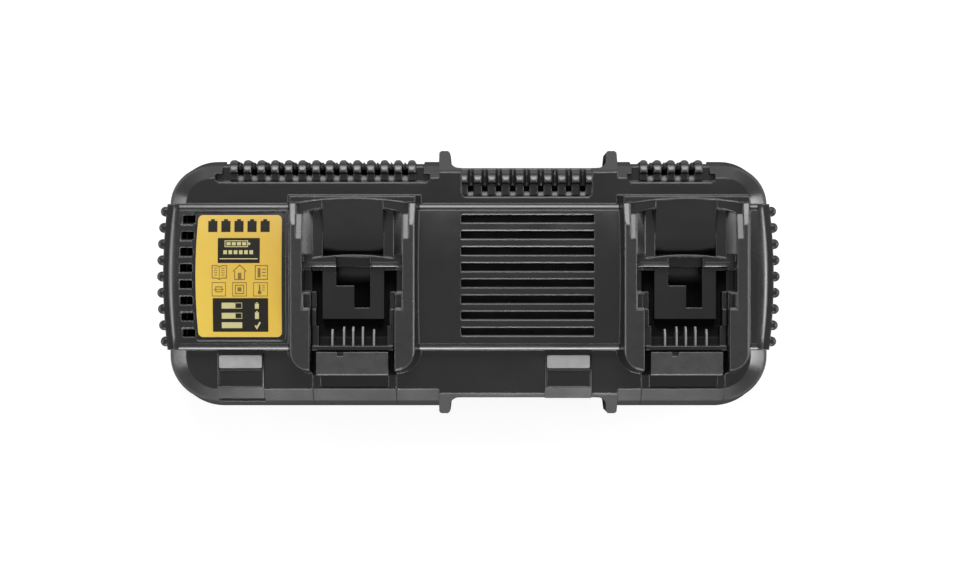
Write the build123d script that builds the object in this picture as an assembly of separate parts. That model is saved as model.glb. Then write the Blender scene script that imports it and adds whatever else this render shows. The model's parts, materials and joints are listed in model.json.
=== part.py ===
from build123d import *
import math
import os

# Two-bay charger for slide-on battery packs, in millimetres.
# X runs along the case, Y from front to rear, Z up. Z = 0 is the surface that the feet stand on,
# and X = Y = 0 is the middle of the overall size.

# ---- case -------------------------------------------------------------------------------------
case_length = 371.4          # tray and upper case at the parting line
case_front_y = -77.5
case_rear_y = 75.7
front_corner_radius = 32.0
rear_corner_radius = 28.0
foot_height = 2.5            # air gap under the tray
parting_z = 30.0
wall_top_z = 50.0            # where the side wall turns into the chamfer
shoulder_z = 58.0
wall_draft = 4.0             # how far the upper side wall leans in
shoulder_chamfer = 7.5       # width of the chamfer seen from above
upper_wall = 3.0
lower_wall = 2.8
tray_edge = 4.5              # chamfer round the bottom of the tray
tray_draft = 0.9
tongue_height = 2.0
tongue_thickness = 1.15
tongue_clearance = 0.15

# ---- waist with cord-wrap cheeks --------------------------------------------------------------
waist_from_left_bay = 51.85  # from the bay's middle to the outer side of the cheeks
waist_from_right_bay = 40.25
waist_rear_y = 70.7
waist_front_y = -71.5
waist_draft = 1.2
waist_edge = 1.8
cheek_reach = 82.0           # how far the cheeks stand out from the middle
cheek_thickness = 7.2
cheek_tip = 4.2              # flat of the tip between its corners
cheek_flare = 5.8            # foot that blends the cheek into the waist
cheek_flare_depth = 4.0
cheek_flare_hollow = 0.3     # how near the foot's curve comes to its corner
cheek_corner = 1.2           # chamfer of the tip's corners
cheek_root = 2.5             # how far a cheek is let into the waist
cheek_low_z = 6.0
cheek_tip_z = 38.0

# ---- raised band ------------------------------------------------------------------------------
band_end_inset = 2.0         # foot of the bevel inside the case's end
band_bow = 2.8               # how far its ends bulge
band_front_y = -41.9
band_rear_y = 48.0
band_foot_z = 59.0
band_crown_z = 70.0
band_dome_radius = 238.0
band_bevel_angle = 27.0
band_hollow_inset = 12.0     # from the band's ends
band_hollow_side = 6.0       # from its front and rear
band_hollow_roof = 3.5       # above its foot

# ---- side bumpers -----------------------------------------------------------------------------
bumper_stand_out = 2.3       # outer wall of the bumper beyond the case's end, at its middle
bumper_top_z = 60.5
bumper_low_z = 34.0
bumper_depth = 12.0
post_count = 9
post_pitch = 10.0
post_radius = 3.1
post_stand_out = 0.8         # post centre outside the bumper wall
post_dome = 1.6
post_row_centre_y = 3.3

# ---- label and its vents ----------------------------------------------------------------------
label_from_end = 45.25       # from the case's left end to the middle of the label
label_centre_y = 3.55
label_length = 52.7
label_depth = 74.7
label_corner = 3.0
label_thickness = 0.7
label_margin = 2.3
label_recess = 1.0
label_bow = 1.6
side_vent_count = 8
side_vent_pitch = 9.97
side_vent_length = 7.4
side_vent_width = 4.4
side_vent_bevel = 0.8
side_vent_from_end = 13.1
side_vent_centre_y = 3.55

# ---- grille -----------------------------------------------------------------------------------
grille_from_left_bay = 65.75
grille_from_right_bay = 55.55
grille_centre_y = 4.2
grille_count = 8
grille_pitch = 9.95
grille_slot = 4.0
grille_bevel = 1.0
grille_slot_depth = 12.0
screen_past_slots = 7.0      # screen under the grille, past the ends of the slots
screen_side_gap = 0.7        # to the front and rear walls of the space under the band
screen_thickness = 0.8
screen_top_z = 58.0
screen_post_radius = 2.4
screen_post_from_slots = 3.5
screen_post_from_side = 8.0
screen_pin_radius = 1.2
screen_pin_clearance = 0.2
screen_pin_head = 2.0        # staked head under the screen
screen_pin_head_height = 0.8

# ---- rear fins --------------------------------------------------------------------------------
fin_width = 4.9
fin_pitch = 8.46
fin_floor_z = 50.0
fin_low_z = 54.0
fin_top_z = 57.4
fin_ridge = 8.2              # radius of the ridge that rounds over to the wall
fin_ridge_edge = 0.9         # chamfer along the ridge
fin_valley = 1.9             # how far the wall between the fins is set back
fin_inner_y = 62.2
fin_lip = 1.0
fin_ridge_slope = 0.6
fin_inner_gap = 0.6          # between the recess wall and the fins
fin_end_space = 7.2          # from the last fin's middle to the end of the outer recess
fin_corner = 2.0             # inner corners of the recess
fin_rib = 0.9                # thin rib between two fins
fin_rib_top_z = 55.4
fin_wedge = 2.6              # sloping foot of the recess wall between two fins
fin_wedge_rise = 1.4
fin_vent_length = 3.0
outer_fin_wedge_start = 1.2  # wedge and vents from the recess wall
outer_fin_vent_start = 4.2
waist_fin_wedge_start = 0.3
waist_fin_vent_start = 3.2
left_fin_count = 14
left_fin_from_end = 95.7
left_fin_recess = 132.6
right_fin_count = 5
right_fin_from_end = 60.5
right_fin_recess = 54.3
waist_fin_pitch = 8.66
waist_fin_from_left_cheek = 13.9
waist_fin_from_right_cheek = 15.9
waist_fin_inner_y = 53.2
fin_vent_width = 3.2
fin_foot_z = 18.0            # where the outer fins start on the tray

# ---- pack bays --------------------------------------------------------------------------------
left_bay_from_end = 115.5
right_bay_from_end = 53.1
tower_top_z = 84.0
tower_edge = 1.1             # chamfer round its top
tower_width = 75.8
tower_spread = 3.6           # how much wider each side is at the shoulder
tower_rear_y = 51.8
tower_rear_lean = 1.8
tower_front_y = -54.0
tower_front_corner_y = -41.3
tower_front_half = 26.0
tower_front_spread = 2.6
tower_bulge_x = 0.72         # where the front corner arcs pass, as shares of the corner
tower_bulge_y = 0.30
rail_width = 61.0            # between the groove walls
lip_gap = 50.6               # between the lips
lip_z = 80.0                 # underside of the lips
groove_z = 73.0              # bottom of the grooves
groove_front_y = -48.0
lip_rear_y = -16.8
nose_rear_y = -6.5
nose_gap = 46.8
nose_top_z = 82.4
nose_pocket_length = 8.0
nose_pocket_width = 4.6
ledge_front_y = 9.0
ledge_side_y = 13.0
ledge_rear_y = 16.6
ledge_z = 74.0
ledge_bevel = 2.4            # sloping front edge of the ledge, seen from above
ledge_bevel_drop = 1.2
shelf_z = 79.5               # shelf behind the walls, where a pack is set down
shelf_corner_y = 47.8
shelf_rear_y = 50.8
rim_z = 80.5                 # rim behind the shelf
scoop_half = 18.5            # ramp down the middle of the bay
scoop_rear_y = 50.0
scoop_bend_y = 24.0
scoop_bend_z = 70.5
scoop_deep_y = 18.5
scoop_deep_z = 64.0
trough_rear_y = 44.6         # troughs beside the ramp
trough_rear_side_y = 41.8
trough_floor_z = 72.6
trough_bend_x = 24.6
trough_bend_z = 73.8
trough_outer_x = 30.0
trough_arch = 0.5            # bulge of the troughs' rear edges
lead_split_x = 34.3          # between the two lead-in ramps on top of each wall
lead_outer_front_y = 34.3
lead_outer_rear_y = 48.2
lead_inner_front_y = 25.9
lead_inner_rear_y = 41.2
key_cover_rim = 2.0          # cover under the key slot, past the hollow and past the slot
key_cover_thickness = 1.0
key_cover_lip = 1.2
key_cover_lip_height = 1.0
key_cover_clearance = 0.2
key_left_x = -10.5
key_right_x = 10.3
key_step_x = 0.6
key_rear_y = 15.1
key_step_y = -2.3
key_front_y = -15.8
pit_half = 20.6
pit_rear_y = 7.0
pit_front_y = -6.0
pit_z = 60.0

# ---- terminal holder --------------------------------------------------------------------------
holder_width = 51.2
holder_clearance = 0.2
holder_floor_z = 70.0
holder_floor_half = 18.9
holder_slot_width = 3.6
holder_low_z = 52.0
holder_wall = 2.5
beam_gap = 0.6               # beside the beam, to the lips
side_ledge_gap = 0.3         # outside the side ledges
side_ledge_step = 1.5        # how much wider the low ledge is
well_rear_y = -22.7
well_front_y = -39.0
well_half = 21.0
well_z = 62.0
blade_bar_rear_y = -33.9
blade_bar_z = 65.0
beam_thickness = 2.6
beam_z = 79.4
block_half = 21.8
block_rear_y = -42.6
block_front_y = -57.0
block_top_z = 83.0
block_slope = 1.0
block_round = 2.0
block_notch_x = -7.1
block_notch_width = 3.9
block_notch_depth = 2.4
side_ledge_z = 74.5
side_ledge_low_z = 72.0
side_ledge_inner = 22.5
side_ledge_step_y = -27.0
apron_recess_front_y = -65.0
apron_recess_half = 21.0
apron_recess_depth = 1.2
ear_reach = 36.5
ear_rear_y = 2.0
ear_front_y = -38.0
ear_thickness = 3.0
roof_z = 55.0                # underside of the shoulder, where the holders seat
blade_positions = (-12.6, -5.5, 0.1, 6.0, 12.8)
blade_thickness = 1.2
blade_rear_y = -27.4
blade_short = 1.5
blade_top_z = 74.0
blade_tail_z = 49.0
blade_corner = 2.5
blade_shoulder = 1.5
blade_tail = 3.0
holder_screw_x = 33.0
holder_screw_y = (-32.0, -4.0)
holder_screw_radius = 1.5
holder_screw_head = 3.0
holder_screw_head_height = 2.0
holder_screw_length = 14.0

# ---- indicator pods ---------------------------------------------------------------------------
pod_from_left_bay = 70.1
pod_from_right_bay = 71.0
pod_width = 28.6
pod_rear_y = -43.9
pod_shelf_y = -65.0
pod_front_y = -71.8
pod_height = 2.4
pod_wall = 2.2
pod_plug_wall = 1.4
pod_edge = 0.6               # chamfer along the sides
pod_roof = 0.6               # left over the hollow of the plug
pod_clearance = 0.2
pod_plug_depth = 6.0
lens_width = 26.2
lens_rear_y = -45.2
lens_front_y = -53.0
lens_corner = 1.0
lens_proud = 0.3
lens_clearance = 0.1
lens_leg_width = 16.0
lens_leg_depth = 3.6
lens_leg_y = -49.6
lens_leg_low_z = 50.4
lens_seat = 0.9              # bottom of the lens above the shoulder
panel_rear_y = -54.3
panel_front_y = -64.4
panel_depth = 1.6
pod_notch_front_y = -75.0
led_board_z = 45.4
led_board_thickness = 1.6
led_board_length = 24.0
led_board_depth = 20.0
led_board_post_radius = 2.6
led_lamp_size = 3.0
led_lamp_x = 4.0
led_post_inset = 3.5         # post centres from the board's ends
led_post_from_pod = 1.5      # and behind the pod's rear edge
led_board_past_post = 3.0
led_screw_length = 6.0

# ---- screws and bosses ------------------------------------------------------------------------
boss_from_rear = 19.2
boss_from_front = 22.5
boss_from_end = 20.2
boss_from_left_front_end = 18.7
boss_from_right_front_end = 16.7
waist_boss_from_rear = 11.7
waist_boss_from_front = 14.0
waist_boss_from_cheek = 4.6
waist_boss_past_cheek = 2.0
boss_radius = 4.2
case_screw_radius = 1.9
case_screw_head = 3.7
case_screw_head_height = 2.6
case_screw_length = 34.0
case_screw_seat_z = 12.0
screw_hole_clearance = 0.3
cross_length = 3.2           # cross recess of every screw
cross_width = 0.8
cross_depth = 1.3

# ---- feet and wall keyholes -------------------------------------------------------------------
foot_radius = 8.0
foot_recess = 1.2
foot_edge = 0.8
foot_from_end = 33.7
foot_half_y = 50.0
keyhole_spacing = 200.0
keyhole_y = 12.0
keyhole_entry_radius = 4.75
keyhole_slot_radius = 2.3
keyhole_travel = 10.0
keyhole_hood_height = 6.0
keyhole_hood_wall = 1.6
keyhole_hood_gap = 0.8

# ---- cord gland -------------------------------------------------------------------------------
gland_from_cheek = 38.35     # from the outer side of the left cheek
gland_z = 17.0
gland_bore_radius = 4.2
gland_neck_radius = 6.5
gland_flange_radius = 9.0
gland_inner_flange = 2.4
gland_wall = 3.0
gland_seat = 1.5             # depth of the pocket that keeps the flange flush

# ---- electronics ------------------------------------------------------------------------------
board_low_x = -108.0
board_high_x = 138.0
board_half_y = 44.0
board_centre_y = 0.0
board_z = 12.0
board_thickness = 1.6
board_screw_inset = 6.0
board_post_radius = 4.0
board_screw_radius = 1.4
board_screw_head = 2.8
board_screw_head_height = 1.8
board_screw_length = 8.0
core_offset_x = 1.0          # from the middle of the waist
core_y = 4.0
core_length = 42.0
core_depth = 20.0
core_height = 34.0
core_leg = 8.0
core_middle = 12.0
core_stand = 2.0             # air under the core
winding_clearance = 0.3
winding_overhang = 6.0       # coil beyond the core, front and rear
winding_corner = 4.0
bobbin_foot_offset = 3.2
bobbin_foot_depth = 4.8
capacitor_radius = 11.0
capacitor_height = 32.0
capacitor_pitch = 24.0
capacitor_x = -14.0
capacitor_edge = 1.0
heat_sink_positions = (-52.0, 78.0)
heat_sink_length = 60.0
heat_sink_height = 30.0
heat_sink_plate = 3.0
heat_sink_fin = 9.0
heat_sink_fin_count = 6
heat_sink_fin_thickness = 1.5
heat_sink_fin_low = 4.0      # bottom of the fins above the board
transistor_width = 10.2
transistor_height = 15.0
transistor_thickness = 4.4
transistor_places = (-16.0, 16.0)
transistor_stand = 3.0
transistor_lead_pitch = 2.5
transistor_lead = 0.8
ring_outer_radius = 13.0
ring_inner_radius = 6.0
ring_height = 11.0
output_ring_radius = 9.0
output_ring_hole = 4.0
output_ring_height = 8.0
wire_radius = 2.6
wire_turn_z = 36.0
wire_bend = 7.0
wire_from_well = 3.0         # behind the front of the contact well
wire_connector_y = -37.0
connector_height = 7.0
connector_length = 16.0
connector_depth = 8.0
connector_from_bay = 14.2
choke_x = -88.0
choke_y = 24.0
output_ring_x = 112.0
output_ring_y = (-12.0, 12.0)
rectifier_x = -76.0
rectifier_y = -4.0
rectifier_length = 20.0
rectifier_depth = 6.0
rectifier_height = 17.0
fuse_x = 8.0
fuse_y = 37.0
fuse_radius = 4.2
fuse_height = 8.0
terminal_x = 42.0
terminal_y = 37.5
terminal_length = 22.0
terminal_depth = 10.0
terminal_height = 10.0
film_x = -36.0
film_y = (-20.0, 20.0)
film_length = 7.0
film_depth = 16.0
film_height = 14.0

overlap = 0.01               # how far cutters run past the faces that they open


# ---- small helpers ----------------------------------------------------------------------------
def block(x_low, x_high, y_low, y_high, z_low, z_high):
    """A plain box between two corners."""
    place = Pos((x_low + x_high) / 2, (y_low + y_high) / 2, (z_low + z_high) / 2)
    return place * Box(x_high - x_low, y_high - y_low, z_high - z_low)


def prism(outline, z_low, z_high, taper=0.0):
    """A plan outline carried up from z_low to z_high."""
    return extrude(Pos(0, 0, z_low) * outline, amount=z_high - z_low, taper=taper)


def side_prism(points, x_low, x_high):
    """A closed outline of (y, z) points carried along X."""
    outline = Plane.YZ * make_face(Polyline(*points, close=True))
    return Pos(x_low, 0, 0) * extrude(outline, amount=x_high - x_low)


def rod(x, y, z_low, z_high, radius):
    """An upright cylinder."""
    return Pos(x, y, (z_low + z_high) / 2) * Cylinder(radius, z_high - z_low)


def plan_block(x_low, x_high, y_low, y_high, z_low, z_high, corner):
    """A box with its upright edges rounded."""
    outline = RectangleRounded(x_high - x_low, y_high - y_low, corner)
    return prism(Pos((x_low + x_high) / 2, (y_low + y_high) / 2) * outline, z_low, z_high)


def pattern(count, pitch, centre=0.0):
    """Evenly spaced positions about a centre."""
    return [centre + (index - (count - 1) / 2) * pitch for index in range(count)]


def joined(shapes):
    """All shapes fused into one part."""
    result = shapes[0]
    for shape in shapes[1:]:
        result = result + shape
    return result


def mirrored_pair(shape):
    """A shape and its mirror image across the plane X = 0."""
    return shape + mirror(shape, about=Plane.YZ)


# ---- places that follow from the sizes --------------------------------------------------------
half_length = case_length / 2
left_bay_x = left_bay_from_end - half_length
right_bay_x = half_length - right_bay_from_end
bay_centres = (left_bay_x, right_bay_x)
pod_centres = (left_bay_x - pod_from_left_bay, right_bay_x - pod_from_right_bay)
connector_places = (left_bay_x - connector_from_bay, right_bay_x - connector_from_bay)
waist_low_x = left_bay_x + waist_from_left_bay
waist_high_x = right_bay_x - waist_from_right_bay
waist_centre_x = (waist_low_x + waist_high_x) / 2
waist_half = (waist_high_x - waist_low_x) / 2
waist_fin_low_x = waist_low_x + waist_fin_from_left_cheek
waist_fin_high_x = waist_high_x - waist_fin_from_right_cheek
waist_fin_recess = waist_fin_high_x - waist_fin_low_x
waist_fin_count = round(waist_fin_recess / waist_fin_pitch) + 1
waist_fin_centre_x = (waist_fin_low_x + waist_fin_high_x) / 2
left_fin_centre_x = left_fin_from_end - half_length
right_fin_centre_x = half_length - right_fin_from_end
label_centre_x = label_from_end - half_length
side_vent_x = side_vent_from_end - half_length
band_half = half_length - band_end_inset
bumper_reach = half_length + bumper_stand_out
foot_half_x = half_length - foot_from_end
gland_x = waist_low_x + gland_from_cheek
core_x = waist_centre_x + core_offset_x
tray_floor_z = foot_height + lower_wall
rear_boss_y = case_rear_y - boss_from_rear
front_boss_y = case_front_y + boss_from_front
waist_rear_boss_y = waist_rear_y - waist_boss_from_rear
waist_front_boss_y = waist_front_y + waist_boss_from_front
boss_places = ((boss_from_end - half_length, rear_boss_y),
               (half_length - boss_from_end, rear_boss_y),
               (boss_from_left_front_end - half_length, front_boss_y),
               (half_length - boss_from_right_front_end, front_boss_y),
               (waist_low_x + waist_boss_from_cheek, waist_rear_boss_y),
               (waist_high_x - waist_boss_from_cheek, waist_rear_boss_y),
               (waist_low_x - waist_boss_past_cheek, waist_front_boss_y),
               (waist_high_x + waist_boss_past_cheek, waist_front_boss_y))


# ---- the form of the case ---------------------------------------------------------------------


def case_outline(inset):
    """Plan of the case at the parting line, drawn in by an inset."""
    rear = case_rear_y - inset
    front = case_front_y + inset
    half = half_length - inset
    outline = make_face(Polyline((-half, front), (half, front), (half, rear), (-half, rear), close=True))
    outline = fillet(outline.vertices().group_by(Axis.Y)[-1], rear_corner_radius - inset)
    return fillet(outline.vertices().group_by(Axis.Y)[0], front_corner_radius - inset)


def waist_cutters(inset, z_low, z_high):
    """The two pockets that narrow the case between the cheeks."""
    x_low = waist_low_x - inset
    x_high = waist_high_x + inset
    rear = block(x_low, x_high, waist_rear_y - inset, cheek_reach, z_low, z_high)
    front = block(x_low, x_high, -cheek_reach, waist_front_y + inset, z_low, z_high)
    return rear + front


def stacked_form(levels):
    """Ruled sections of the case outline, from (z, inset) levels."""
    parts = []
    for (z_low, inset_low), (z_high, inset_high) in zip(levels, levels[1:]):
        low = Pos(0, 0, z_low) * case_outline(inset_low)
        high = Pos(0, 0, z_high) * case_outline(inset_high)
        parts.append(loft([low, high], ruled=True))
    return joined(parts)


def waist_form(z_low, z_high):
    """The straight-topped middle of the upper case."""
    rear = waist_rear_y
    front = waist_front_y
    points = [(front, z_low), (front + waist_draft, z_high - waist_edge),
              (front + waist_draft + waist_edge, z_high), (rear - waist_draft - waist_edge, z_high),
              (rear - waist_draft, z_high - waist_edge), (rear, z_low)]
    return side_prism(points, waist_low_x, waist_high_x)


def upper_form():
    """Outer form of the upper case up to the shoulder."""
    body = stacked_form([(parting_z, 0), (wall_top_z, wall_draft),
                         (shoulder_z, wall_draft + shoulder_chamfer)])
    body = body - waist_cutters(0, parting_z - 1, shoulder_z + 1)
    return body + waist_form(parting_z, shoulder_z)


def fin_zones(margin):
    """X ranges of the three finned groups with the Y of their inner edges, grown by a margin."""
    rows = ((left_fin_centre_x, left_fin_recess, fin_inner_y),
            (waist_fin_centre_x, waist_fin_recess, waist_fin_inner_y),
            (right_fin_centre_x, right_fin_recess, fin_inner_y))
    return [(x - length / 2 - margin, x + length / 2 + margin, inner_y) for x, length, inner_y in rows]


def rear_wall_backing(wall, z_low):
    """Material kept behind the set-back wall between the outer fins."""
    inner_y = case_rear_y - fin_valley - wall
    zones = [fin_zones(wall)[0], fin_zones(wall)[2]]
    return joined([block(x_low, x_high, inner_y, cheek_reach, z_low, shoulder_z)
                   for x_low, x_high, _ in zones])


def fin_shelves():
    """Material kept under and beside the recesses that the fins stand in."""
    return joined([block(x_low, x_high, inner_y - upper_wall, cheek_reach,
                         fin_floor_z - upper_wall, shoulder_z)
                   for x_low, x_high, inner_y in fin_zones(upper_wall)])


def tongue_gaps():
    """Where the tongue of the tray is left out behind the outer fins."""
    zones = [fin_zones(1)[0], fin_zones(1)[2]]
    return joined([block(x_low, x_high, 0, cheek_reach, parting_z - 2, shoulder_z)
                   for x_low, x_high, _ in zones])


def case_plan(inset, z_low, z_high):
    """The whole plan of the case with its waist, drawn in by an inset, between two heights."""
    return prism(case_outline(inset), z_low, z_high) - waist_cutters(inset, z_low - 1, z_high + 1)


def tongue_space(gap, height):
    """Everything inside the tongue's outer face, grown by a gap."""
    inset = lower_wall - tongue_thickness - gap
    return case_plan(inset, parting_z, parting_z + height) - tongue_gaps()


def upper_cavity():
    """Space inside the upper case up to the underside of the shoulder."""
    body = stacked_form([(parting_z - 1, upper_wall),
                         (wall_top_z - 1, wall_draft + upper_wall),
                         (roof_z, wall_draft + shoulder_chamfer + upper_wall - 2)])
    body = body - waist_cutters(upper_wall, parting_z - 2, shoulder_z)
    body = body - rear_wall_backing(upper_wall, parting_z - 2) - fin_shelves()
    return body + tongue_space(tongue_clearance, tongue_height + tongue_clearance)


def cheek_outline(side_x, side_y):
    """Plan of one cord-wrap cheek; side_x and side_y are its signs about the waist."""
    root = (waist_rear_y if side_y > 0 else -waist_front_y) - cheek_root
    outer = waist_half
    inner = waist_half - cheek_thickness
    reach = cheek_reach
    wall = root + cheek_root
    hollow = cheek_flare_hollow
    tip = outer - cheek_corner - cheek_tip
    points = [(inner - cheek_flare, wall - overlap), (inner - cheek_flare, root), (outer, root),
              (outer, reach - cheek_corner), (outer - cheek_corner, reach), (tip, reach),
              (tip - cheek_corner, reach - cheek_corner), (inner, wall + cheek_flare_depth),
              (inner - cheek_flare * hollow, wall + cheek_flare_depth * hollow)]
    placed = [(waist_centre_x + side_x * x, side_y * y) for x, y in points]
    foot = ThreePointArc(placed[-2], placed[-1], placed[0])
    return make_face(Curve() + Polyline(*placed[:-1]).edges() + [foot])


def cheeks(z_low, z_high):
    """All four cheeks between two heights."""
    return joined([prism(cheek_outline(side_x, side_y), z_low, z_high)
                   for side_x in (-1, 1) for side_y in (-1, 1)])


def cheek_slope():
    """Cutter that slopes the cheeks down from the shoulder to their tips."""
    rear_top = waist_rear_y - waist_draft - waist_edge
    front_top = waist_front_y + waist_draft + waist_edge
    end = cheek_reach + 1
    high = shoulder_z + 2
    rear_points = [(rear_top, shoulder_z), (end, cheek_tip_z), (end, high), (rear_top, high)]
    front_points = [(front_top, shoulder_z), (front_top, high), (-end, high), (-end, cheek_tip_z)]
    x_low = waist_low_x - 1
    x_high = waist_high_x + 1
    return side_prism(rear_points, x_low, x_high) + side_prism(front_points, x_low, x_high)


# ---- raised band and bumpers ------------------------------------------------------------------
def bowed_outline(x_end, y_front, y_rear, bow):
    """Plan rectangle whose two ends bulge outward by a bow."""
    middle = (y_front + y_rear) / 2
    edges = [Line((-x_end + bow, y_front), (x_end - bow, y_front)),
             ThreePointArc((x_end - bow, y_front), (x_end, middle), (x_end - bow, y_rear)),
             Line((x_end - bow, y_rear), (-x_end + bow, y_rear)),
             ThreePointArc((-x_end + bow, y_rear), (-x_end, middle), (-x_end + bow, y_front))]
    return make_face(Curve() + edges)


band_middle_y = (band_front_y + band_rear_y) / 2


def dome(radius_change):
    """Long cylinder along X whose top is the crown of the band."""
    radius = band_dome_radius + radius_change
    centre_z = band_crown_z - band_dome_radius
    return Pos(0, band_middle_y, centre_z) * Rot(0, 90, 0) * Cylinder(radius, 2 * case_length)


def dome_z(y):
    """Height of the dome at a place along Y."""
    return band_crown_z - band_dome_radius + math.sqrt(band_dome_radius ** 2 - (y - band_middle_y) ** 2)


def raised_band():
    """Domed band with bevelled edges and bowed ends."""
    outline = bowed_outline(band_half, band_front_y, band_rear_y, band_bow)
    foot = prism(outline, roof_z, band_foot_z)
    top = prism(outline, band_foot_z, band_crown_z + 2, taper=band_bevel_angle)
    return foot + (top & dome(0))


def bumpers():
    """Bowed side walls with their upright posts."""
    outline = bowed_outline(bumper_reach, band_front_y, band_rear_y, band_bow)
    core = block(-bumper_reach + bumper_depth, bumper_reach - bumper_depth,
                 -case_length, case_length, 0, tower_top_z)
    shell = prism(outline, bumper_low_z, bumper_top_z) - core
    half_span = (band_rear_y - band_front_y) / 2
    posts = []
    for y in pattern(post_count, post_pitch, post_row_centre_y):
        bulge = band_bow * (1 - ((y - band_middle_y) / half_span) ** 2)
        x = bumper_reach - band_bow + bulge + post_stand_out
        for side in (-1, 1):
            posts.append(rod(side * x, y, bumper_low_z, bumper_top_z - post_dome, post_radius))
            tip = Cone(post_radius, post_radius - post_dome, post_dome)
            posts.append(Pos(side * x, y, bumper_top_z - post_dome / 2) * tip)
    return joined([shell] + posts)


# ---- openings of the upper case ---------------------------------------------------------------
def label_outline(margin):
    """Plan of the label, with its bowed outer edge, grown by a margin."""
    x_high = label_centre_x + label_length / 2 + margin
    x_low = label_centre_x - label_length / 2 - margin
    y_low = label_centre_y - label_depth / 2 - margin
    y_high = label_centre_y + label_depth / 2 + margin
    edges = [Line((x_low + label_bow, y_low), (x_high, y_low)), Line((x_high, y_low), (x_high, y_high)),
             Line((x_high, y_high), (x_low + label_bow, y_high)),
             ThreePointArc((x_low + label_bow, y_high), (x_low, label_centre_y),
                           (x_low + label_bow, y_low))]
    face = make_face(Curve() + edges)
    return fillet(face.vertices(), label_corner)


def label_recess_cutter():
    """Shallow pocket that follows the dome."""
    return prism(label_outline(label_margin), band_foot_z, band_crown_z + 2) - dome(-label_recess)


def side_vents():
    """Row of slots beside the label."""
    half_span = (band_rear_y - band_front_y) / 2
    cutters = []
    for y in pattern(side_vent_count, side_vent_pitch, side_vent_centre_y):
        shift = band_bow * ((y - band_middle_y) / half_span) ** 2
        x = side_vent_x + shift
        cutters.append(block(x - side_vent_length / 2, x + side_vent_length / 2,
                             y - side_vent_width / 2, y + side_vent_width / 2,
                             roof_z, band_crown_z + 2))
        bevel_z = dome_z(y) - side_vent_bevel
        outline = Pos(x, y) * Rectangle(side_vent_length, side_vent_width)
        cutters.append(prism(outline, bevel_z, bevel_z + 2 * side_vent_bevel, taper=-45))
    return joined(cutters)


def grille_cutter():
    """Slots of the grille, each bevelled at the dome and square to it."""
    centre_z = band_crown_z - band_dome_radius
    cutters = []
    for y in pattern(grille_count, grille_pitch, grille_centre_y):
        lean = math.degrees(math.asin((y - band_middle_y) / band_dome_radius))
        half = grille_slot / 2
        top = band_dome_radius
        points = [(-half, top - grille_slot_depth), (half, top - grille_slot_depth),
                  (half, top - grille_bevel),
                  (half + grille_bevel + 0.5, top + 0.5), (-half - grille_bevel - 0.5, top + 0.5),
                  (-half, top - grille_bevel)]
        slot = side_prism(points, left_bay_x + grille_from_left_bay, right_bay_x - grille_from_right_bay)
        cutters.append(Pos(0, band_middle_y, centre_z) * Rot(-lean, 0, 0) * slot)
    return joined(cutters)


def fin_profile(inner_y, outer_y):
    """Side view of one fin: a low inner part, then a ridge that rounds over to the wall."""
    ridge_y = outer_y - fin_ridge
    low_y = ridge_y - fin_ridge_slope
    diagonal = fin_ridge * math.sqrt(0.5)
    sides = Polyline((outer_y, fin_top_z - fin_ridge), (outer_y, fin_floor_z - 1),
                     (inner_y, fin_floor_z - 1), (inner_y, fin_low_z), (low_y, fin_low_z),
                     (ridge_y, fin_top_z)).edges()
    ridge = ThreePointArc((ridge_y, fin_top_z), (ridge_y + diagonal, fin_top_z - fin_ridge + diagonal),
                          (outer_y, fin_top_z - fin_ridge))
    return Plane.YZ * make_face(Curve() + sides + [ridge])


def fin_section(x, y_low, y_high):
    """Block as wide as a fin with the long edges of its top chamfered."""
    half = fin_width / 2
    edge = fin_ridge_edge
    points = [(x - half, parting_z), (x + half, parting_z), (x + half, fin_top_z - edge),
              (x + half - edge, fin_top_z), (x - half + edge, fin_top_z), (x - half, fin_top_z - edge)]
    outline = Plane(origin=(0, y_high, 0), x_dir=(1, 0, 0), z_dir=(0, -1, 0)) * make_face(
        Polyline(*points, close=True))
    return extrude(outline, amount=y_high - y_low)


def fin_recess(centre_x, inner_length, outer_length, inner_y, outer_y):
    """Plan of a finned recess: a longer inner strip with rounded corners, then the outer part."""
    low_y = outer_y - fin_ridge - fin_ridge_slope
    strip = Pos(centre_x, (inner_y + low_y) / 2) * Rectangle(inner_length, low_y - inner_y)
    strip = fillet(strip.vertices().group_by(Axis.Y)[0], fin_corner)
    outer = Pos(centre_x, (inner_y + fin_corner + outer_y + 10) / 2) * Rectangle(
        outer_length, outer_y + 10 - inner_y - fin_corner)
    return strip + outer


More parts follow.
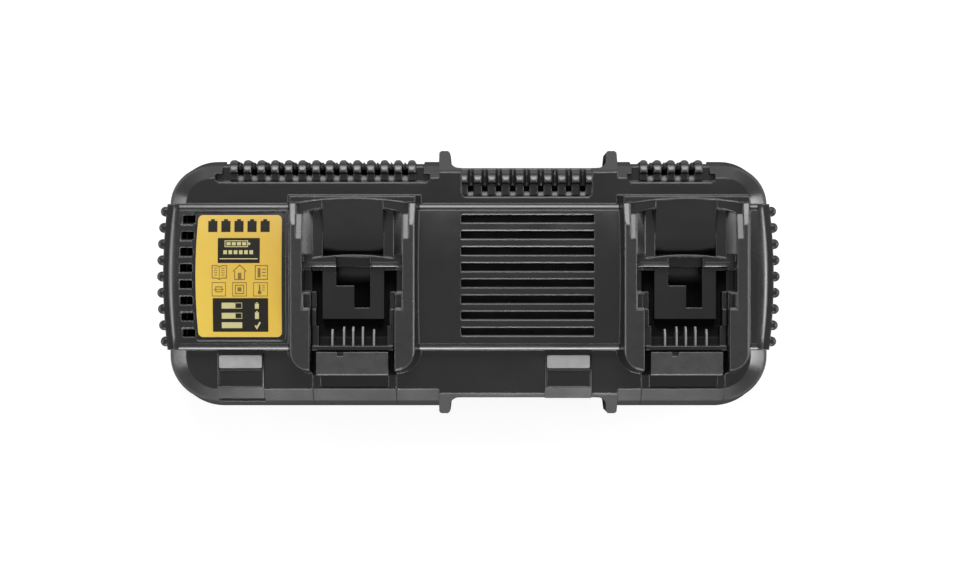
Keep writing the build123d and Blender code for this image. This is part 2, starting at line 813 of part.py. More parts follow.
def fin_group(centre_x, recess_length, count, pitch, inner_y, outer_y, valley, wedge_start, vent_start):
    """Cutter, fins and vents of one group at the rear edge."""
    outer_length = recess_length
    if valley > 0:
        outer_length = (count - 1) * pitch + 2 * fin_end_space
    x_low = centre_x - recess_length / 2 + fin_corner
    x_high = centre_x + recess_length / 2 - fin_corner
    plan = fin_recess(centre_x, recess_length, outer_length, inner_y, outer_y)
    cutter = prism(plan, fin_floor_z, shoulder_z + 1)
    lip = side_prism([(inner_y - fin_lip, shoulder_z + overlap), (inner_y + overlap, shoulder_z - fin_lip),
                      (inner_y + overlap, shoulder_z + overlap)], x_low, x_high)
    cutter = cutter + lip
    if valley > 0:
        cutter = cutter + block(centre_x - outer_length / 2, centre_x + outer_length / 2,
                                outer_y - valley, outer_y + 10, parting_z - 1, shoulder_z + 1)
    fins = []
    for x in pattern(count, pitch, centre_x):
        profile = fin_profile(inner_y + fin_inner_gap, outer_y)
        fin = Pos(x - fin_width / 2, 0, 0) * extrude(profile, amount=fin_width)
        fin = fin & fin_section(x, inner_y, outer_y)
        if valley > 0:
            foot = Pos(x, outer_y - fin_width / 2) * Circle(fin_width / 2)
            foot = foot + Pos(x, outer_y - fin_width) * Rectangle(fin_width, fin_width)
            inner_part = fin & block(x - fin_width, x + fin_width, 0, outer_y - fin_width / 2,
                                     0, tower_top_z)
            outer_part = fin & prism(foot, parting_z, tower_top_z)
            fin = inner_part + outer_part + prism(foot, parting_z, fin_top_z - fin_ridge)
        fins.append(fin)
    wedge_y = inner_y + wedge_start
    vent_y = inner_y + vent_start
    gap_half = (pitch - fin_width) / 2 + overlap
    vents = []
    for x in pattern(count - 1, pitch, centre_x):
        foot = [(inner_y - 1, fin_floor_z - 1), (inner_y - 1, fin_low_z), (wedge_y, fin_low_z),
                (wedge_y + fin_wedge, fin_low_z - fin_wedge_rise), (wedge_y + fin_wedge, fin_floor_z - 1)]
        fins.append(side_prism(foot, x - gap_half, x + gap_half))
        fins.append(block(x - fin_rib / 2, x + fin_rib / 2, vent_y + fin_vent_length, outer_y - valley,
                          fin_floor_z - 1, fin_rib_top_z))
        vents.append(block(x - fin_vent_width / 2, x + fin_vent_width / 2, vent_y, vent_y + fin_vent_length,
                           fin_floor_z - 8, fin_top_z))
    return cutter, joined(fins), joined(vents)


# ---- pack bays --------------------------------------------------------------------------------
def tower_outline(spread, lean, front_spread):
    """Plan of a bay tower: square behind, generously rounded in front."""
    half = tower_width / 2 + spread
    rear = tower_rear_y + lean
    front = tower_front_y - front_spread
    corner_y = tower_front_corner_y
    inner = tower_front_half
    bulge_x = inner + (half - inner) * tower_bulge_x
    bulge_y = front + (corner_y - front) * tower_bulge_y
    edges = [Line((-half, corner_y), (-half, rear)), Line((-half, rear), (half, rear)),
             Line((half, rear), (half, corner_y)),
             ThreePointArc((half, corner_y), (bulge_x, bulge_y), (inner, front)),
             Line((inner, front), (-inner, front)),
             ThreePointArc((-inner, front), (-bulge_x, bulge_y), (-half, corner_y))]
    return make_face(Curve() + edges)


def bay_tower():
    """Drafted solid of one tower about its own centre line, its top edge chamfered."""
    foot = Pos(0, 0, roof_z) * tower_outline(tower_spread, tower_rear_lean, tower_front_spread)
    edge = Pos(0, 0, tower_top_z - tower_edge) * tower_outline(0, 0, 0)
    top = Pos(0, 0, tower_top_z) * tower_outline(-tower_edge, -tower_edge, -tower_edge)
    return loft([foot, edge], ruled=True) + loft([edge, top], ruled=True)


def shelf_cutter():
    """Space over the rear shelf, its rear edge arched, with the rim behind it cut lower."""
    half = rail_width / 2
    split = lead_split_x
    edges = Polyline((split, shelf_corner_y), (split, lead_inner_rear_y), (half, lead_inner_rear_y),
                     (half, ledge_front_y), (-half, ledge_front_y), (-half, lead_inner_rear_y),
                     (-split, lead_inner_rear_y), (-split, shelf_corner_y)).edges()
    arch = ThreePointArc((-split, shelf_corner_y), (0, shelf_rear_y), (split, shelf_corner_y))
    plan = make_face(Curve() + edges + [arch])
    past = tower_width / 2 + tower_spread
    rim = block(-past, past, lead_outer_rear_y, tower_rear_y + tower_rear_lean, rim_z, tower_top_z + 2)
    return prism(plan, shelf_z, tower_top_z + 2) + rim


def lead_in(front_y, rear_y, x_low, x_high):
    """Ramp that falls along the top of a bay wall, from its full height down to the shelf."""
    top = tower_top_z + 2
    return side_prism([(front_y, tower_top_z), (rear_y + overlap, shelf_z), (rear_y + overlap, top),
                       (front_y, top)], x_low, x_high)


def scoop_cutter():
    """Ramp down the middle of the bay, deepest at the ledge."""
    top = tower_top_z + 2
    return side_prism([(scoop_rear_y, shelf_z), (scoop_bend_y, scoop_bend_z), (scoop_deep_y, scoop_deep_z),
                       (ledge_front_y - 1, scoop_deep_z), (ledge_front_y - 1, top), (scoop_rear_y, top)],
                      -scoop_half, scoop_half)


def trough_cutter():
    """Trough beside the ramp: nearly flat near the ramp, then steep up to the bay wall."""
    inner = scoop_half - overlap
    outer = trough_outer_x
    low_y = ledge_front_y - 1
    section = make_face(Polyline((inner, trough_floor_z), (trough_bend_x, trough_bend_z),
                                 (outer, shelf_z + overlap), (inner, shelf_z + overlap), close=True))
    section = Plane(origin=(0, trough_rear_y, 0), x_dir=(1, 0, 0), z_dir=(0, -1, 0)) * section
    edges = Polyline((outer, trough_rear_side_y), (outer, low_y), (inner, low_y),
                     (inner, trough_rear_y)).edges()
    middle = ((inner + outer) / 2, (trough_rear_y + trough_rear_side_y) / 2 + trough_arch)
    arch = ThreePointArc((inner, trough_rear_y), middle, (outer, trough_rear_side_y))
    plan = make_face(Curve() + edges + [arch])
    return extrude(section, amount=trough_rear_y - low_y) & prism(plan, roof_z, tower_top_z)


def bay_cutter():
    """Everything that a pack and its rails need open, about the bay's centre line."""
    rail_half = rail_width / 2
    top = tower_top_z + 2
    cutter = block(-rail_half, rail_half, lip_rear_y, ledge_front_y, groove_z, top)
    cutter = cutter + block(-rail_half, rail_half, groove_front_y, ledge_front_y, groove_z, lip_z)
    cutter = cutter + block(-lip_gap / 2, lip_gap / 2, tower_front_y - 8, ledge_front_y, groove_z, top)
    cutter = cutter + block(-rail_half, rail_half, ledge_front_y - 1, ledge_rear_y, ledge_z, top)
    cutter = cutter + shelf_cutter() + scoop_cutter()
    inner_lead = lead_in(lead_inner_front_y, lead_inner_rear_y, rail_half - overlap, lead_split_x)
    outer_lead = lead_in(lead_outer_front_y, lead_outer_rear_y, lead_split_x,
                         tower_width / 2 + tower_spread)
    pit = block(pit_half, rail_half, pit_front_y, pit_rear_y, pit_z, top)
    return cutter + mirrored_pair(inner_lead + outer_lead + trough_cutter() + pit)


def ledge():
    """Bar across the bay with an arched rear edge."""
    half = rail_width / 2 + 1
    edges = [Line((-half, ledge_front_y), (half, ledge_front_y)),
             Line((half, ledge_front_y), (half, ledge_side_y)),
             ThreePointArc((half, ledge_side_y), (0, ledge_rear_y), (-half, ledge_side_y)),
             Line((-half, ledge_side_y), (-half, ledge_front_y))]
    bevel = side_prism([(ledge_front_y, ledge_z - ledge_bevel_drop), (ledge_front_y + ledge_bevel, ledge_z),
                        (ledge_front_y + ledge_bevel, ledge_z + 1), (ledge_front_y - 1, ledge_z + 1),
                        (ledge_front_y - 1, ledge_z - ledge_bevel_drop)], -half - 1, half + 1)
    return prism(make_face(Curve() + edges), roof_z, ledge_z) - bevel


def nose_lugs():
    """Low lugs in front of the lips, each with a small pocket."""
    outer = rail_width / 2 + 1
    inner = nose_gap / 2
    lug = block(inner, outer, lip_rear_y - 0.5, nose_rear_y, lip_z, nose_top_z)
    pocket_x = (inner + rail_width / 2) / 2 + 0.6
    pocket_y = (lip_rear_y + nose_rear_y) / 2
    pocket = block(pocket_x - nose_pocket_width / 2, pocket_x + nose_pocket_width / 2,
                   pocket_y - nose_pocket_length / 2, pocket_y + nose_pocket_length / 2,
                   lip_z - 1, nose_top_z + 1)
    return mirrored_pair(lug - pocket)


def keyway(z_low, z_high):
    """Z-shaped key slot of the bay."""
    upper = block(key_left_x, key_right_x, key_step_y, key_rear_y, z_low, z_high)
    lower = block(key_step_x, key_right_x, key_front_y, key_step_y + 1, z_low, z_high)
    return upper + lower


def holder_slot(z_low):
    """The strip of the case that the terminal holder takes, from the ledge to the front edge."""
    half = holder_width / 2 + holder_clearance
    return block(-half, half, case_front_y - 5, ledge_front_y, z_low, tower_top_z + 3)


def under_scoop():
    """Hollow below the ramp that keeps the moulding an even wall."""
    wall = upper_wall
    points = [(ledge_rear_y + wall, roof_z - 1), (ledge_rear_y + wall, scoop_deep_z - wall),
              (scoop_bend_y, scoop_bend_z - 2 * wall), (scoop_rear_y - wall, shelf_z - 2 * wall),
              (scoop_rear_y - wall, roof_z - 1)]
    return side_prism(points, wall - scoop_half, scoop_half - wall)


# ---- indicator pods ---------------------------------------------------------------------------
shoulder_edge_y = case_front_y + wall_draft + shoulder_chamfer


def chamfer_z(y):
    """Height of the front chamfer at a place in front of the shoulder's edge."""
    return shoulder_z - (shoulder_edge_y - y) * (shoulder_z - wall_top_z) / shoulder_chamfer


def pod_opening(clearance):
    """Hole in the shoulder that a bezel's plug fits."""
    half = pod_width / 2 - pod_wall + clearance
    return block(-half, half, pod_shelf_y + pod_wall - clearance, pod_rear_y - pod_wall + clearance,
                 roof_z - pod_plug_depth, shoulder_z + 1)


def pod_fold():
    """Chamfer under each pod, also where the waist's shoulder runs further forward."""
    points = [(shoulder_edge_y, shoulder_z), (pod_front_y - 0.1, chamfer_z(pod_front_y - 0.1)),
              (pod_front_y - 0.1, shoulder_z + 1), (shoulder_edge_y, shoulder_z + 1)]
    return side_prism(points, -pod_width / 2, pod_width / 2)


def pod_notch():
    """Dark notch in the case in front of each pod."""
    half = pod_width / 2
    return block(-half, half, pod_notch_front_y, pod_front_y - 0.1, wall_top_z - 4, shoulder_z + 1)


def led_posts():
    """Posts under the roof that carry an LED board."""
    x = led_board_length / 2 - led_post_inset
    y = pod_rear_y + led_post_from_pod
    low = led_board_z + led_board_thickness
    post = rod(x, y, low, roof_z + 0.5, led_board_post_radius)
    return mirrored_pair(post - rod(x, y, low - 1, roof_z - 2, board_screw_radius))


# ---- screws -----------------------------------------------------------------------------------
def pan_screw(x, y, seat_z, radius, head_radius, head_height, length):
    """A screw that points up, its head below the seat."""
    head = rod(x, y, seat_z - head_height, seat_z, head_radius)
    shank = rod(x, y, seat_z - 0.2, seat_z + length, radius)
    bar = Box(cross_length, cross_width, cross_depth)
    recess = Pos(x, y, seat_z - head_height + cross_depth / 2 - overlap) * (bar + Rot(0, 0, 90) * bar)
    return head + shank - recess


def group(solids):
    """Separate solids kept apart in one node."""
    return Compound(children=[solid for shape in solids for solid in shape.solids()])


# ---- upper case -------------------------------------------------------------------------------
def make_shell():
    """Upper case with the space inside taken out, before the bays are cut."""
    towers = joined([Pos(x, 0, 0) * bay_tower() for x in bay_centres])
    solid = upper_form() + raised_band() + towers + bumpers()
    solid = solid + (cheeks(parting_z, shoulder_z) - cheek_slope())
    return solid - upper_cavity()


def band_hollows():
    """Spaces under the raised band, clear of the towers."""
    half = tower_width / 2 + tower_spread + 1
    roof = band_foot_z + band_hollow_roof
    spans = [(band_hollow_inset - band_half, left_bay_x - half), (left_bay_x + half, right_bay_x - half)]
    return joined([block(x_low, x_high, band_front_y + band_hollow_side, band_rear_y - band_hollow_side,
                         roof_z - 1, roof)
                   for x_low, x_high in spans])


def screen_places():
    """Where the posts of the grille screen stand, beyond the ends of the slots."""
    x_low = left_bay_x + grille_from_left_bay - screen_post_from_slots
    x_high = right_bay_x - grille_from_right_bay + screen_post_from_slots
    y_low = band_front_y + band_hollow_side + screen_post_from_side
    y_high = band_rear_y - band_hollow_side - screen_post_from_side
    return [(x, y) for x in (x_low, x_high) for y in (y_low, y_high)]


def screen_posts():
    """Posts under the band, each with a pin that is staked over the screen."""
    roof = band_foot_z + band_hollow_roof
    low = screen_top_z - screen_thickness
    posts = []
    for x, y in screen_places():
        posts.append(rod(x, y, screen_top_z, roof + 0.5, screen_post_radius))
        posts.append(rod(x, y, low - screen_pin_head_height, screen_top_z + 1, screen_pin_radius))
        posts.append(rod(x, y, low - screen_pin_head_height, low, screen_pin_head))
    return joined(posts)


def make_screen():
    """Dark sheet under the grille that keeps the boards out of sight."""
    x_low = left_bay_x + grille_from_left_bay - screen_past_slots
    x_high = right_bay_x - grille_from_right_bay + screen_past_slots
    y_low = band_front_y + band_hollow_side + screen_side_gap
    y_high = band_rear_y - band_hollow_side - screen_side_gap
    sheet = block(x_low, x_high, y_low, y_high, screen_top_z - screen_thickness, screen_top_z)
    for x, y in screen_places():
        sheet = sheet - rod(x, y, roof_z, shoulder_z + 1, screen_pin_radius + screen_pin_clearance)
    return sheet


def make_top_housing(shell):
    """The moulded upper case."""
    body = shell - band_hollows() + screen_posts()
    groups = [
        fin_group(left_fin_centre_x, left_fin_recess, left_fin_count, fin_pitch, fin_inner_y,
                  case_rear_y, fin_valley, outer_fin_wedge_start, outer_fin_vent_start),
        fin_group(right_fin_centre_x, right_fin_recess, right_fin_count, fin_pitch, fin_inner_y,
                  case_rear_y, fin_valley, outer_fin_wedge_start, outer_fin_vent_start),
        fin_group(waist_fin_centre_x, waist_fin_recess, waist_fin_count, waist_fin_pitch, waist_fin_inner_y,
                  waist_rear_y - waist_draft, 0, waist_fin_wedge_start, waist_fin_vent_start)]
    for cutter, fins, vents in groups:
        body = body - cutter
        body = body + fins
        body = body - vents
    body = body - label_recess_cutter() - side_vents() - grille_cutter()
    for x in bay_centres:
        place = Pos(x, 0, 0)
        body = body - place * (bay_cutter() + under_scoop())
        body = body + place * (ledge() - keyway(roof_z - 1, tower_top_z)) + place * nose_lugs()
        body = body - place * holder_slot(parting_z - 1)
        for side in (-1, 1):
            for y in holder_screw_y:
                body = body - rod(x + side * holder_screw_x, y, roof_z - 1,
                                  roof_z + holder_screw_length - ear_thickness + 1, holder_screw_radius)
    for x in pod_centres:
        body = body - Pos(x, 0, 0) * (pod_opening(pod_clearance) + pod_fold() + pod_notch())
        body = body + Pos(x, 0, 0) * led_posts()
    for x, y in boss_places:
        body = body + rod(x, y, parting_z, roof_z + 0.5, boss_radius)
        body = body - rod(x, y, parting_z - 1, case_screw_seat_z + case_screw_length + 1, case_screw_radius)
    return body


# ---- terminal holder --------------------------------------------------------------------------
def holder_cuts():
    """Wells, slots and key slot of a holder, about the bay's centre line."""
    half = holder_width / 2
    top = holder_floor_z + 1
    well = block(-well_half, well_half, well_front_y, well_rear_y, well_z, top)
    slot_outer = holder_floor_half + holder_slot_width
    slot = block(holder_floor_half, slot_outer, side_ledge_step_y, pit_rear_y, pit_z, top)
    pit = block(pit_half, half + 1, pit_front_y, pit_rear_y, pit_z, top)
    return well + mirrored_pair(slot + pit) + keyway(holder_low_z - 1, top)


def floor_hollow(margin, z_low, z_high):
    """The hollow under the holder's floor, grown by a margin, between two heights."""
    half = holder_floor_half - holder_wall + margin
    return block(-half, half, well_rear_y + holder_wall - margin, ledge_front_y - holder_wall + margin,
                 z_low, z_high)


def holder_hollows():
    """Cores on the underside of a holder."""
    wall = holder_wall
    floor_core = floor_hollow(0, holder_low_z - 1, holder_floor_z - wall)
    well_core = block(-well_half, well_half, well_front_y + 1, well_rear_y - 1,
                      holder_low_z - 1, well_z - wall)
    block_core = block(-block_half + wall, block_half - wall, block_front_y + wall, block_rear_y - wall,
                       holder_low_z - 1, block_top_z - wall - 1)
    return floor_core + well_core + block_core


def stop_block():
    """Block at the front end of the bay, its top sloping gently forward."""
    points = [(block_front_y, roof_z), (block_front_y, block_top_z - block_slope - block_round),
              (block_front_y + block_round * 0.3, block_top_z - block_slope - block_round * 0.3),
              (block_front_y + block_round, block_top_z - block_slope),
              (block_rear_y, block_top_z), (block_rear_y, roof_z)]
    solid = side_prism(points, -block_half, block_half)
    notch = block(block_notch_x - block_notch_width / 2, block_notch_x + block_notch_width / 2,
                  block_rear_y - block_notch_depth, block_rear_y + 1, block_top_z - 5, block_top_z + 1)
    return solid - notch


def blade(x):
    """One contact blade: a thin upright sheet with a tail through the holder."""
    shift = blade_short if x in (blade_positions[0], blade_positions[-1]) else 0.0
    rear = blade_rear_y - shift
    front = well_front_y
    tail_rear = front + blade_shoulder + blade_tail
    low = well_z - blade_corner
    points = [(rear, well_z), (rear, blade_top_z - blade_corner), (rear - blade_corner, blade_top_z),
              (front, blade_top_z), (front, low), (front + blade_shoulder, low),
              (front + blade_shoulder, blade_tail_z), (tail_rear, blade_tail_z), (tail_rear, well_z)]
    return side_prism(points, x - blade_thickness / 2, x + blade_thickness / 2)


def make_blades(x):
    """Five separate blades of one bay."""
    return group([Pos(x, 0, 0) * blade(position) for position in blade_positions])


def make_holder(shell, x):
    """Insert that fills the front of a bay and carries the blades."""
    half = holder_width / 2
    front_strip = block(x - half, x + half, case_front_y - 5, block_front_y + 3, parting_z, shoulder_z)
    apron = shell & front_strip
    rear = ledge_front_y - holder_clearance
    body = block(-half, half, block_front_y, rear, holder_low_z, shoulder_z)
    body = body + block(-half, half, well_front_y - beam_thickness, rear, roof_z, holder_floor_z)
    body = body - holder_cuts()
    bar = block(-well_half, well_half, well_front_y, blade_bar_rear_y, well_z - 1, blade_bar_z)
    beam_half = lip_gap / 2 - beam_gap
    beam = block(-beam_half, beam_half, well_front_y - beam_thickness, well_front_y,
                 holder_floor_z - 1, beam_z)
    ledge_outer = lip_gap / 2 - side_ledge_gap
    high_ledge = block(side_ledge_inner, ledge_outer, side_ledge_step_y, lip_rear_y, pit_z, side_ledge_z)
    low_ledge = block(side_ledge_inner - side_ledge_step, ledge_outer, well_front_y, side_ledge_step_y,
                      pit_z, side_ledge_low_z)
    ears = block(-ear_reach, ear_reach, ear_front_y, ear_rear_y, holder_low_z, roof_z)
    body = body + bar + beam + mirrored_pair(high_ledge + low_ledge) + stop_block() + ears
    body = body - holder_hollows()
    recess = block(-apron_recess_half, apron_recess_half, apron_recess_front_y, block_front_y,
                   shoulder_z - apron_recess_depth, shoulder_z + 1)
    for side in (-1, 1):
        for y in holder_screw_y:
            body = body - rod(side * holder_screw_x, y, holder_low_z - 1, roof_z + 1,
                              holder_screw_radius + screw_hole_clearance)
    for position in blade_positions:
        body = body - blade(position)
    return apron + Pos(x, 0, 0) * body - Pos(x, 0, 0) * recess


def make_key_cover(x):
    """Dark cover welded under a holder, with a lip that finds the hollow and a tongue under the ledge."""
    low = holder_low_z
    high = low + key_cover_lip_height
    gap = key_cover_clearance
    plate = floor_hollow(key_cover_rim, low - key_cover_thickness, low)
    tongue = block(key_left_x - key_cover_rim, key_right_x + key_cover_rim, key_step_y,
                   key_rear_y + key_cover_rim, low - key_cover_thickness, low)
    lip = floor_hollow(-gap, low, high) - floor_hollow(-gap - key_cover_lip, low - 1, high + 1)
    return Pos(x, 0, 0) * (plate + tongue + lip)


def make_holder_screws():
    """Screws that hold both holders against the underside of the roof."""
    return group([pan_screw(x + side * holder_screw_x, y, holder_low_z, holder_screw_radius,
                            holder_screw_head, holder_screw_head_height, holder_screw_length)
                  for x in bay_centres for side in (-1, 1) for y in holder_screw_y])


# ---- label ------------------------------------------------------------------------------------
def make_label():
    """Thin label that follows the dome of its recess."""
    sheet = prism(label_outline(0), band_foot_z, band_crown_z + 2)
    return (sheet & dome(label_thickness - label_recess)) - dome(-label_recess)


# ---- pods -------------------------------------------------------------------------------------
def make_bezel(x):
    """Snap-in frame that rests on the shoulder and folds over the chamfer."""
    top = shoulder_z + pod_height
    points = [(pod_rear_y, shoulder_z), (pod_rear_y, top), (pod_shelf_y, top),
              (pod_front_y, chamfer_z(pod_front_y) + pod_height * 0.8), (pod_front_y, chamfer_z(pod_front_y)),
              (shoulder_edge_y, shoulder_z)]
    frame = side_prism(points, -pod_width / 2, pod_width / 2)
    frame = chamfer(frame.edges().filter_by(Axis.Y).group_by(Axis.Z)[-1], pod_edge)
    plug = pod_opening(0) & block(-pod_width, pod_width, pod_front_y, pod_rear_y,
                                  roof_z - pod_plug_depth, shoulder_z)
    wall = pod_wall + pod_plug_wall
    half = pod_width / 2 - wall
    inner = block(-half, half, pod_shelf_y + wall, pod_rear_y - wall,
                  roof_z - pod_plug_depth - 1, shoulder_z - pod_roof)
    seat_z = shoulder_z + lens_seat
    lens_half = lens_width / 2 + lens_clearance
    lens_pocket = plan_block(-lens_half, lens_half, lens_front_y - lens_clearance,
                             lens_rear_y + lens_clearance, seat_z, top + 1, lens_corner)
    leg_half = lens_leg_width / 2 + lens_clearance
    leg_hole = block(-leg_half, leg_half, lens_leg_y - lens_leg_depth / 2 - lens_clearance,
                     lens_leg_y + lens_leg_depth / 2 + lens_clearance, shoulder_z - 2, top)
    panel = block(-lens_width / 2, lens_width / 2, panel_front_y, panel_rear_y, top - panel_depth, top + 1)
    return Pos(x, 0, 0) * (frame + plug - inner - lens_pocket - leg_hole - panel)


def make_lens(x):
    """Light guide: a plate in the bezel and a leg down to the lamps."""
    seat_z = shoulder_z + lens_seat
    plate = plan_block(-lens_width / 2, lens_width / 2, lens_front_y, lens_rear_y,
                       seat_z, shoulder_z + pod_height + lens_proud, lens_corner)
    leg = block(-lens_leg_width / 2, lens_leg_width / 2, lens_leg_y - lens_leg_depth / 2,
                lens_leg_y + lens_leg_depth / 2, lens_leg_low_z, seat_z + 0.5)
    return Pos(x, 0, 0) * (plate + leg)


def make_led_board(x):
    """Small board with two lamps, screwed to the posts under the roof."""
    post_y = pod_rear_y + led_post_from_pod
    y_high = post_y + led_board_past_post
    board = block(-led_board_length / 2, led_board_length / 2, y_high - led_board_depth, y_high,
                  led_board_z, led_board_z + led_board_thickness)
    for side in (-1, 1):
        board = board - rod(side * (led_board_length / 2 - led_post_inset), post_y, led_board_z - 1,
                            led_board_z + 3, board_screw_radius + screw_hole_clearance)
    lamps = [Pos(side * led_lamp_x, lens_leg_y, led_board_z + led_board_thickness + led_lamp_size / 2)
             * Box(led_lamp_size, led_lamp_size, led_lamp_size) for side in (-1, 1)]
    return group([Pos(x, 0, 0) * board] + [Pos(x, 0, 0) * lamp for lamp in lamps])


# ---- tray -------------------------------------------------------------------------------------
def keyhole(x, z_low, z_high):
    """Round entry with a narrow slot towards the rear."""
    entry = rod(x, keyhole_y, z_low, z_high, keyhole_entry_radius)
    slot = block(x - keyhole_slot_radius, x + keyhole_slot_radius,
                 keyhole_y, keyhole_y + keyhole_travel, z_low, z_high)
    end = rod(x, keyhole_y + keyhole_travel, z_low, z_high, keyhole_slot_radius)
    return entry + slot + end


def keyhole_hood(x):
    """Closed pocket over a keyhole that keeps the screw head off the electronics."""
    wall = keyhole_hood_wall
    inner_half = keyhole_entry_radius + keyhole_hood_gap
    y_low = keyhole_y - inner_half
    y_high = keyhole_y + keyhole_travel + inner_half
    top = tray_floor_z + keyhole_hood_height
    hood = block(x - inner_half - wall, x + inner_half + wall, y_low - wall, y_high + wall,
                 tray_floor_z - 1, top)
    return hood - block(x - inner_half, x + inner_half, y_low, y_high, tray_floor_z, top - wall)


def tray_fins():
    """Lower ends of the outer rear fins, below the parting line."""
    fins = []
    rows = ((left_fin_centre_x, left_fin_count), (right_fin_centre_x, right_fin_count))
    for centre_x, count in rows:
        for x in pattern(count, fin_pitch, centre_x):
            foot = Pos(x, case_rear_y - fin_width / 2) * Circle(fin_width / 2)
            foot = foot + Pos(x, case_rear_y - fin_width) * Rectangle(fin_width, fin_width)
            fins.append(prism(foot, fin_foot_z, parting_z))
    return joined(fins)


def tray_valleys():
    """Where the tray's rear wall is set back between the fins."""
    zones = [fin_zones(0)[0], fin_zones(0)[2]]
    return joined([block(x_low, x_high, case_rear_y - fin_valley, cheek_reach, fin_foot_z - 1, parting_z + 1)
                   for x_low, x_high, _ in zones])


def gland_boss():
    """Thicker wall round the cord gland, inside the tray."""
    inner_y = waist_rear_y - gland_seat - gland_wall
    return (Pos(gland_x, (inner_y + waist_rear_y) / 2, gland_z) * Rot(90, 0, 0)
            * Cylinder(gland_flange_radius + 2, waist_rear_y - inner_y))


def across(x, z, y_low, y_high, radius):
    """A cylinder along Y."""
    return Pos(x, (y_low + y_high) / 2, z) * Rot(90, 0, 0) * Cylinder(radius, y_high - y_low)


def make_tray():
    """The moulded lower case."""
    edge_z = foot_height + tray_edge
    outer = stacked_form([(foot_height, tray_edge), (edge_z, tray_draft), (parting_z, 0)])
    outer = outer - waist_cutters(0, 0, parting_z + 1) + cheeks(cheek_low_z, parting_z)
    inner = stacked_form([(tray_floor_z, tray_edge + lower_wall - 0.8), (edge_z + 2, tray_draft + lower_wall),
                          (parting_z + 1, lower_wall)])
    inner = inner - waist_cutters(lower_wall, 0, parting_z + 2)
    inner = inner - rear_wall_backing(lower_wall, 0)
    tray = outer - tray_valleys() + tray_fins() - inner
    tray = tray + (tongue_space(0, tongue_height) - case_plan(lower_wall, parting_z - 1, shoulder_z))
    for x, y in boss_places:
        tray = tray + rod(x, y, tray_floor_z - 1, parting_z, boss_radius + 1)
    for x, y in board_posts():
        tray = tray + rod(x, y, tray_floor_z - 1, board_z, board_post_radius)
    for side in (-1, 1):
        tray = tray + keyhole_hood(side * keyhole_spacing / 2)
    tray = tray + gland_boss()
    for x, y in boss_places:
        tray = tray - rod(x, y, 0, case_screw_seat_z, case_screw_head + screw_hole_clearance)
        tray = tray - rod(x, y, 0, parting_z + 1, case_screw_radius + screw_hole_clearance)
    for x, y in board_posts():
        screw_end = board_z + board_thickness - board_screw_length
        tray = tray - rod(x, y, screw_end - 0.5, board_z + 1, board_screw_radius)
    for side in (-1, 1):
        tray = tray - keyhole(side * keyhole_spacing / 2, 0, tray_floor_z + 1)
    for x in (-foot_half_x, foot_half_x):
        for y in (-foot_half_y, foot_half_y):
            tray = tray - rod(x, y, 0, foot_height + foot_recess, foot_radius)
    tray = tray - across(gland_x, gland_z, 0.5 * waist_rear_y, cheek_reach, gland_neck_radius)
    return tray - across(gland_x, gland_z, waist_rear_y - gland_seat, cheek_reach, gland_flange_radius)


def make_gland():
    """Rubber bush with flanges on both sides of the wall."""
    front = waist_rear_y - gland_seat - gland_wall
    neck = across(gland_x, gland_z, front, waist_rear_y - gland_seat, gland_neck_radius)
    outside = across(gland_x, gland_z, waist_rear_y - gland_seat, waist_rear_y, gland_flange_radius)
    inside = across(gland_x, gland_z, front - gland_inner_flange, front, gland_flange_radius - 1)
    bore = across(gland_x, gland_z, front - gland_inner_flange - 1, waist_rear_y + 1, gland_bore_radius)
    return neck + outside + inside - bore


def make_feet():
    """Four rubber feet."""
    foot = rod(0, 0, 0, foot_height + foot_recess, foot_radius)
    foot = chamfer(foot.edges().group_by(Axis.Z)[0], foot_edge)
    return group([Pos(side_x * foot_half_x, side_y * foot_half_y, 0) * foot
                  for side_x in (-1, 1) for side_y in (-1, 1)])


def make_case_screws():
    """Long screws that close the case from below."""
    return group([pan_screw(x, y, case_screw_seat_z, case_screw_radius, case_screw_head,
                            case_screw_head_height, case_screw_length) for x, y in boss_places])


# ---- electronics ------------------------------------------------------------------------------
board_top_z = board_z + board_thickness


def on_board(x, y, length, depth, height):
    """A block that stands on the main board."""
    return Pos(x, y, board_top_z + height / 2) * Box(length, depth, height)


def board_posts():
    """Screw posts under the main board: its corners and the middle of its long sides."""
    inset = board_screw_inset
    xs = (board_low_x + inset, (board_low_x + board_high_x) / 2, board_high_x - inset)
    return [(x, board_centre_y + side * (board_half_y - inset)) for x in xs for side in (-1, 1)]


def make_board():
    """Main circuit board with its screw holes."""
    board = block(board_low_x, board_high_x, board_centre_y - board_half_y, board_centre_y + board_half_y,
                  board_z, board_top_z)
    for x, y in board_posts():
        board = board - rod(x, y, board_z - 1, board_top_z + 1, board_screw_radius + screw_hole_clearance)
    return board


def flipped(shape, z):
    """A shape turned upside down about a height."""
    return mirror(shape, about=Plane.XY.offset(z))


def make_board_screws():
    """Screws of the main board and of both LED boards."""
    screws = [flipped(pan_screw(x, y, board_top_z, board_screw_radius, board_screw_head,
                                board_screw_head_height, board_screw_length), board_top_z)
              for x, y in board_posts()]
    for x in pod_centres:
        for side in (-1, 1):
            screws.append(pan_screw(x + side * (led_board_length / 2 - led_post_inset),
                                    pod_rear_y + led_post_from_pod, led_board_z, board_screw_radius,
                                    board_screw_head, board_screw_head_height, led_screw_length))
    return group(screws)


def make_core():
    """E cores closed round two windows, standing on the bobbin's feet."""
    low = board_top_z + core_stand
    frame = block(core_x - core_length / 2, core_x + core_length / 2,
                  core_y - core_depth / 2, core_y + core_depth / 2, low, low + core_height)
    window = block(core_middle / 2, core_length / 2 - core_leg, core_y - core_depth, core_y + core_depth,
                   low + core_leg, low + core_height - core_leg)
    return frame - Pos(core_x, 0, 0) * mirrored_pair(window)


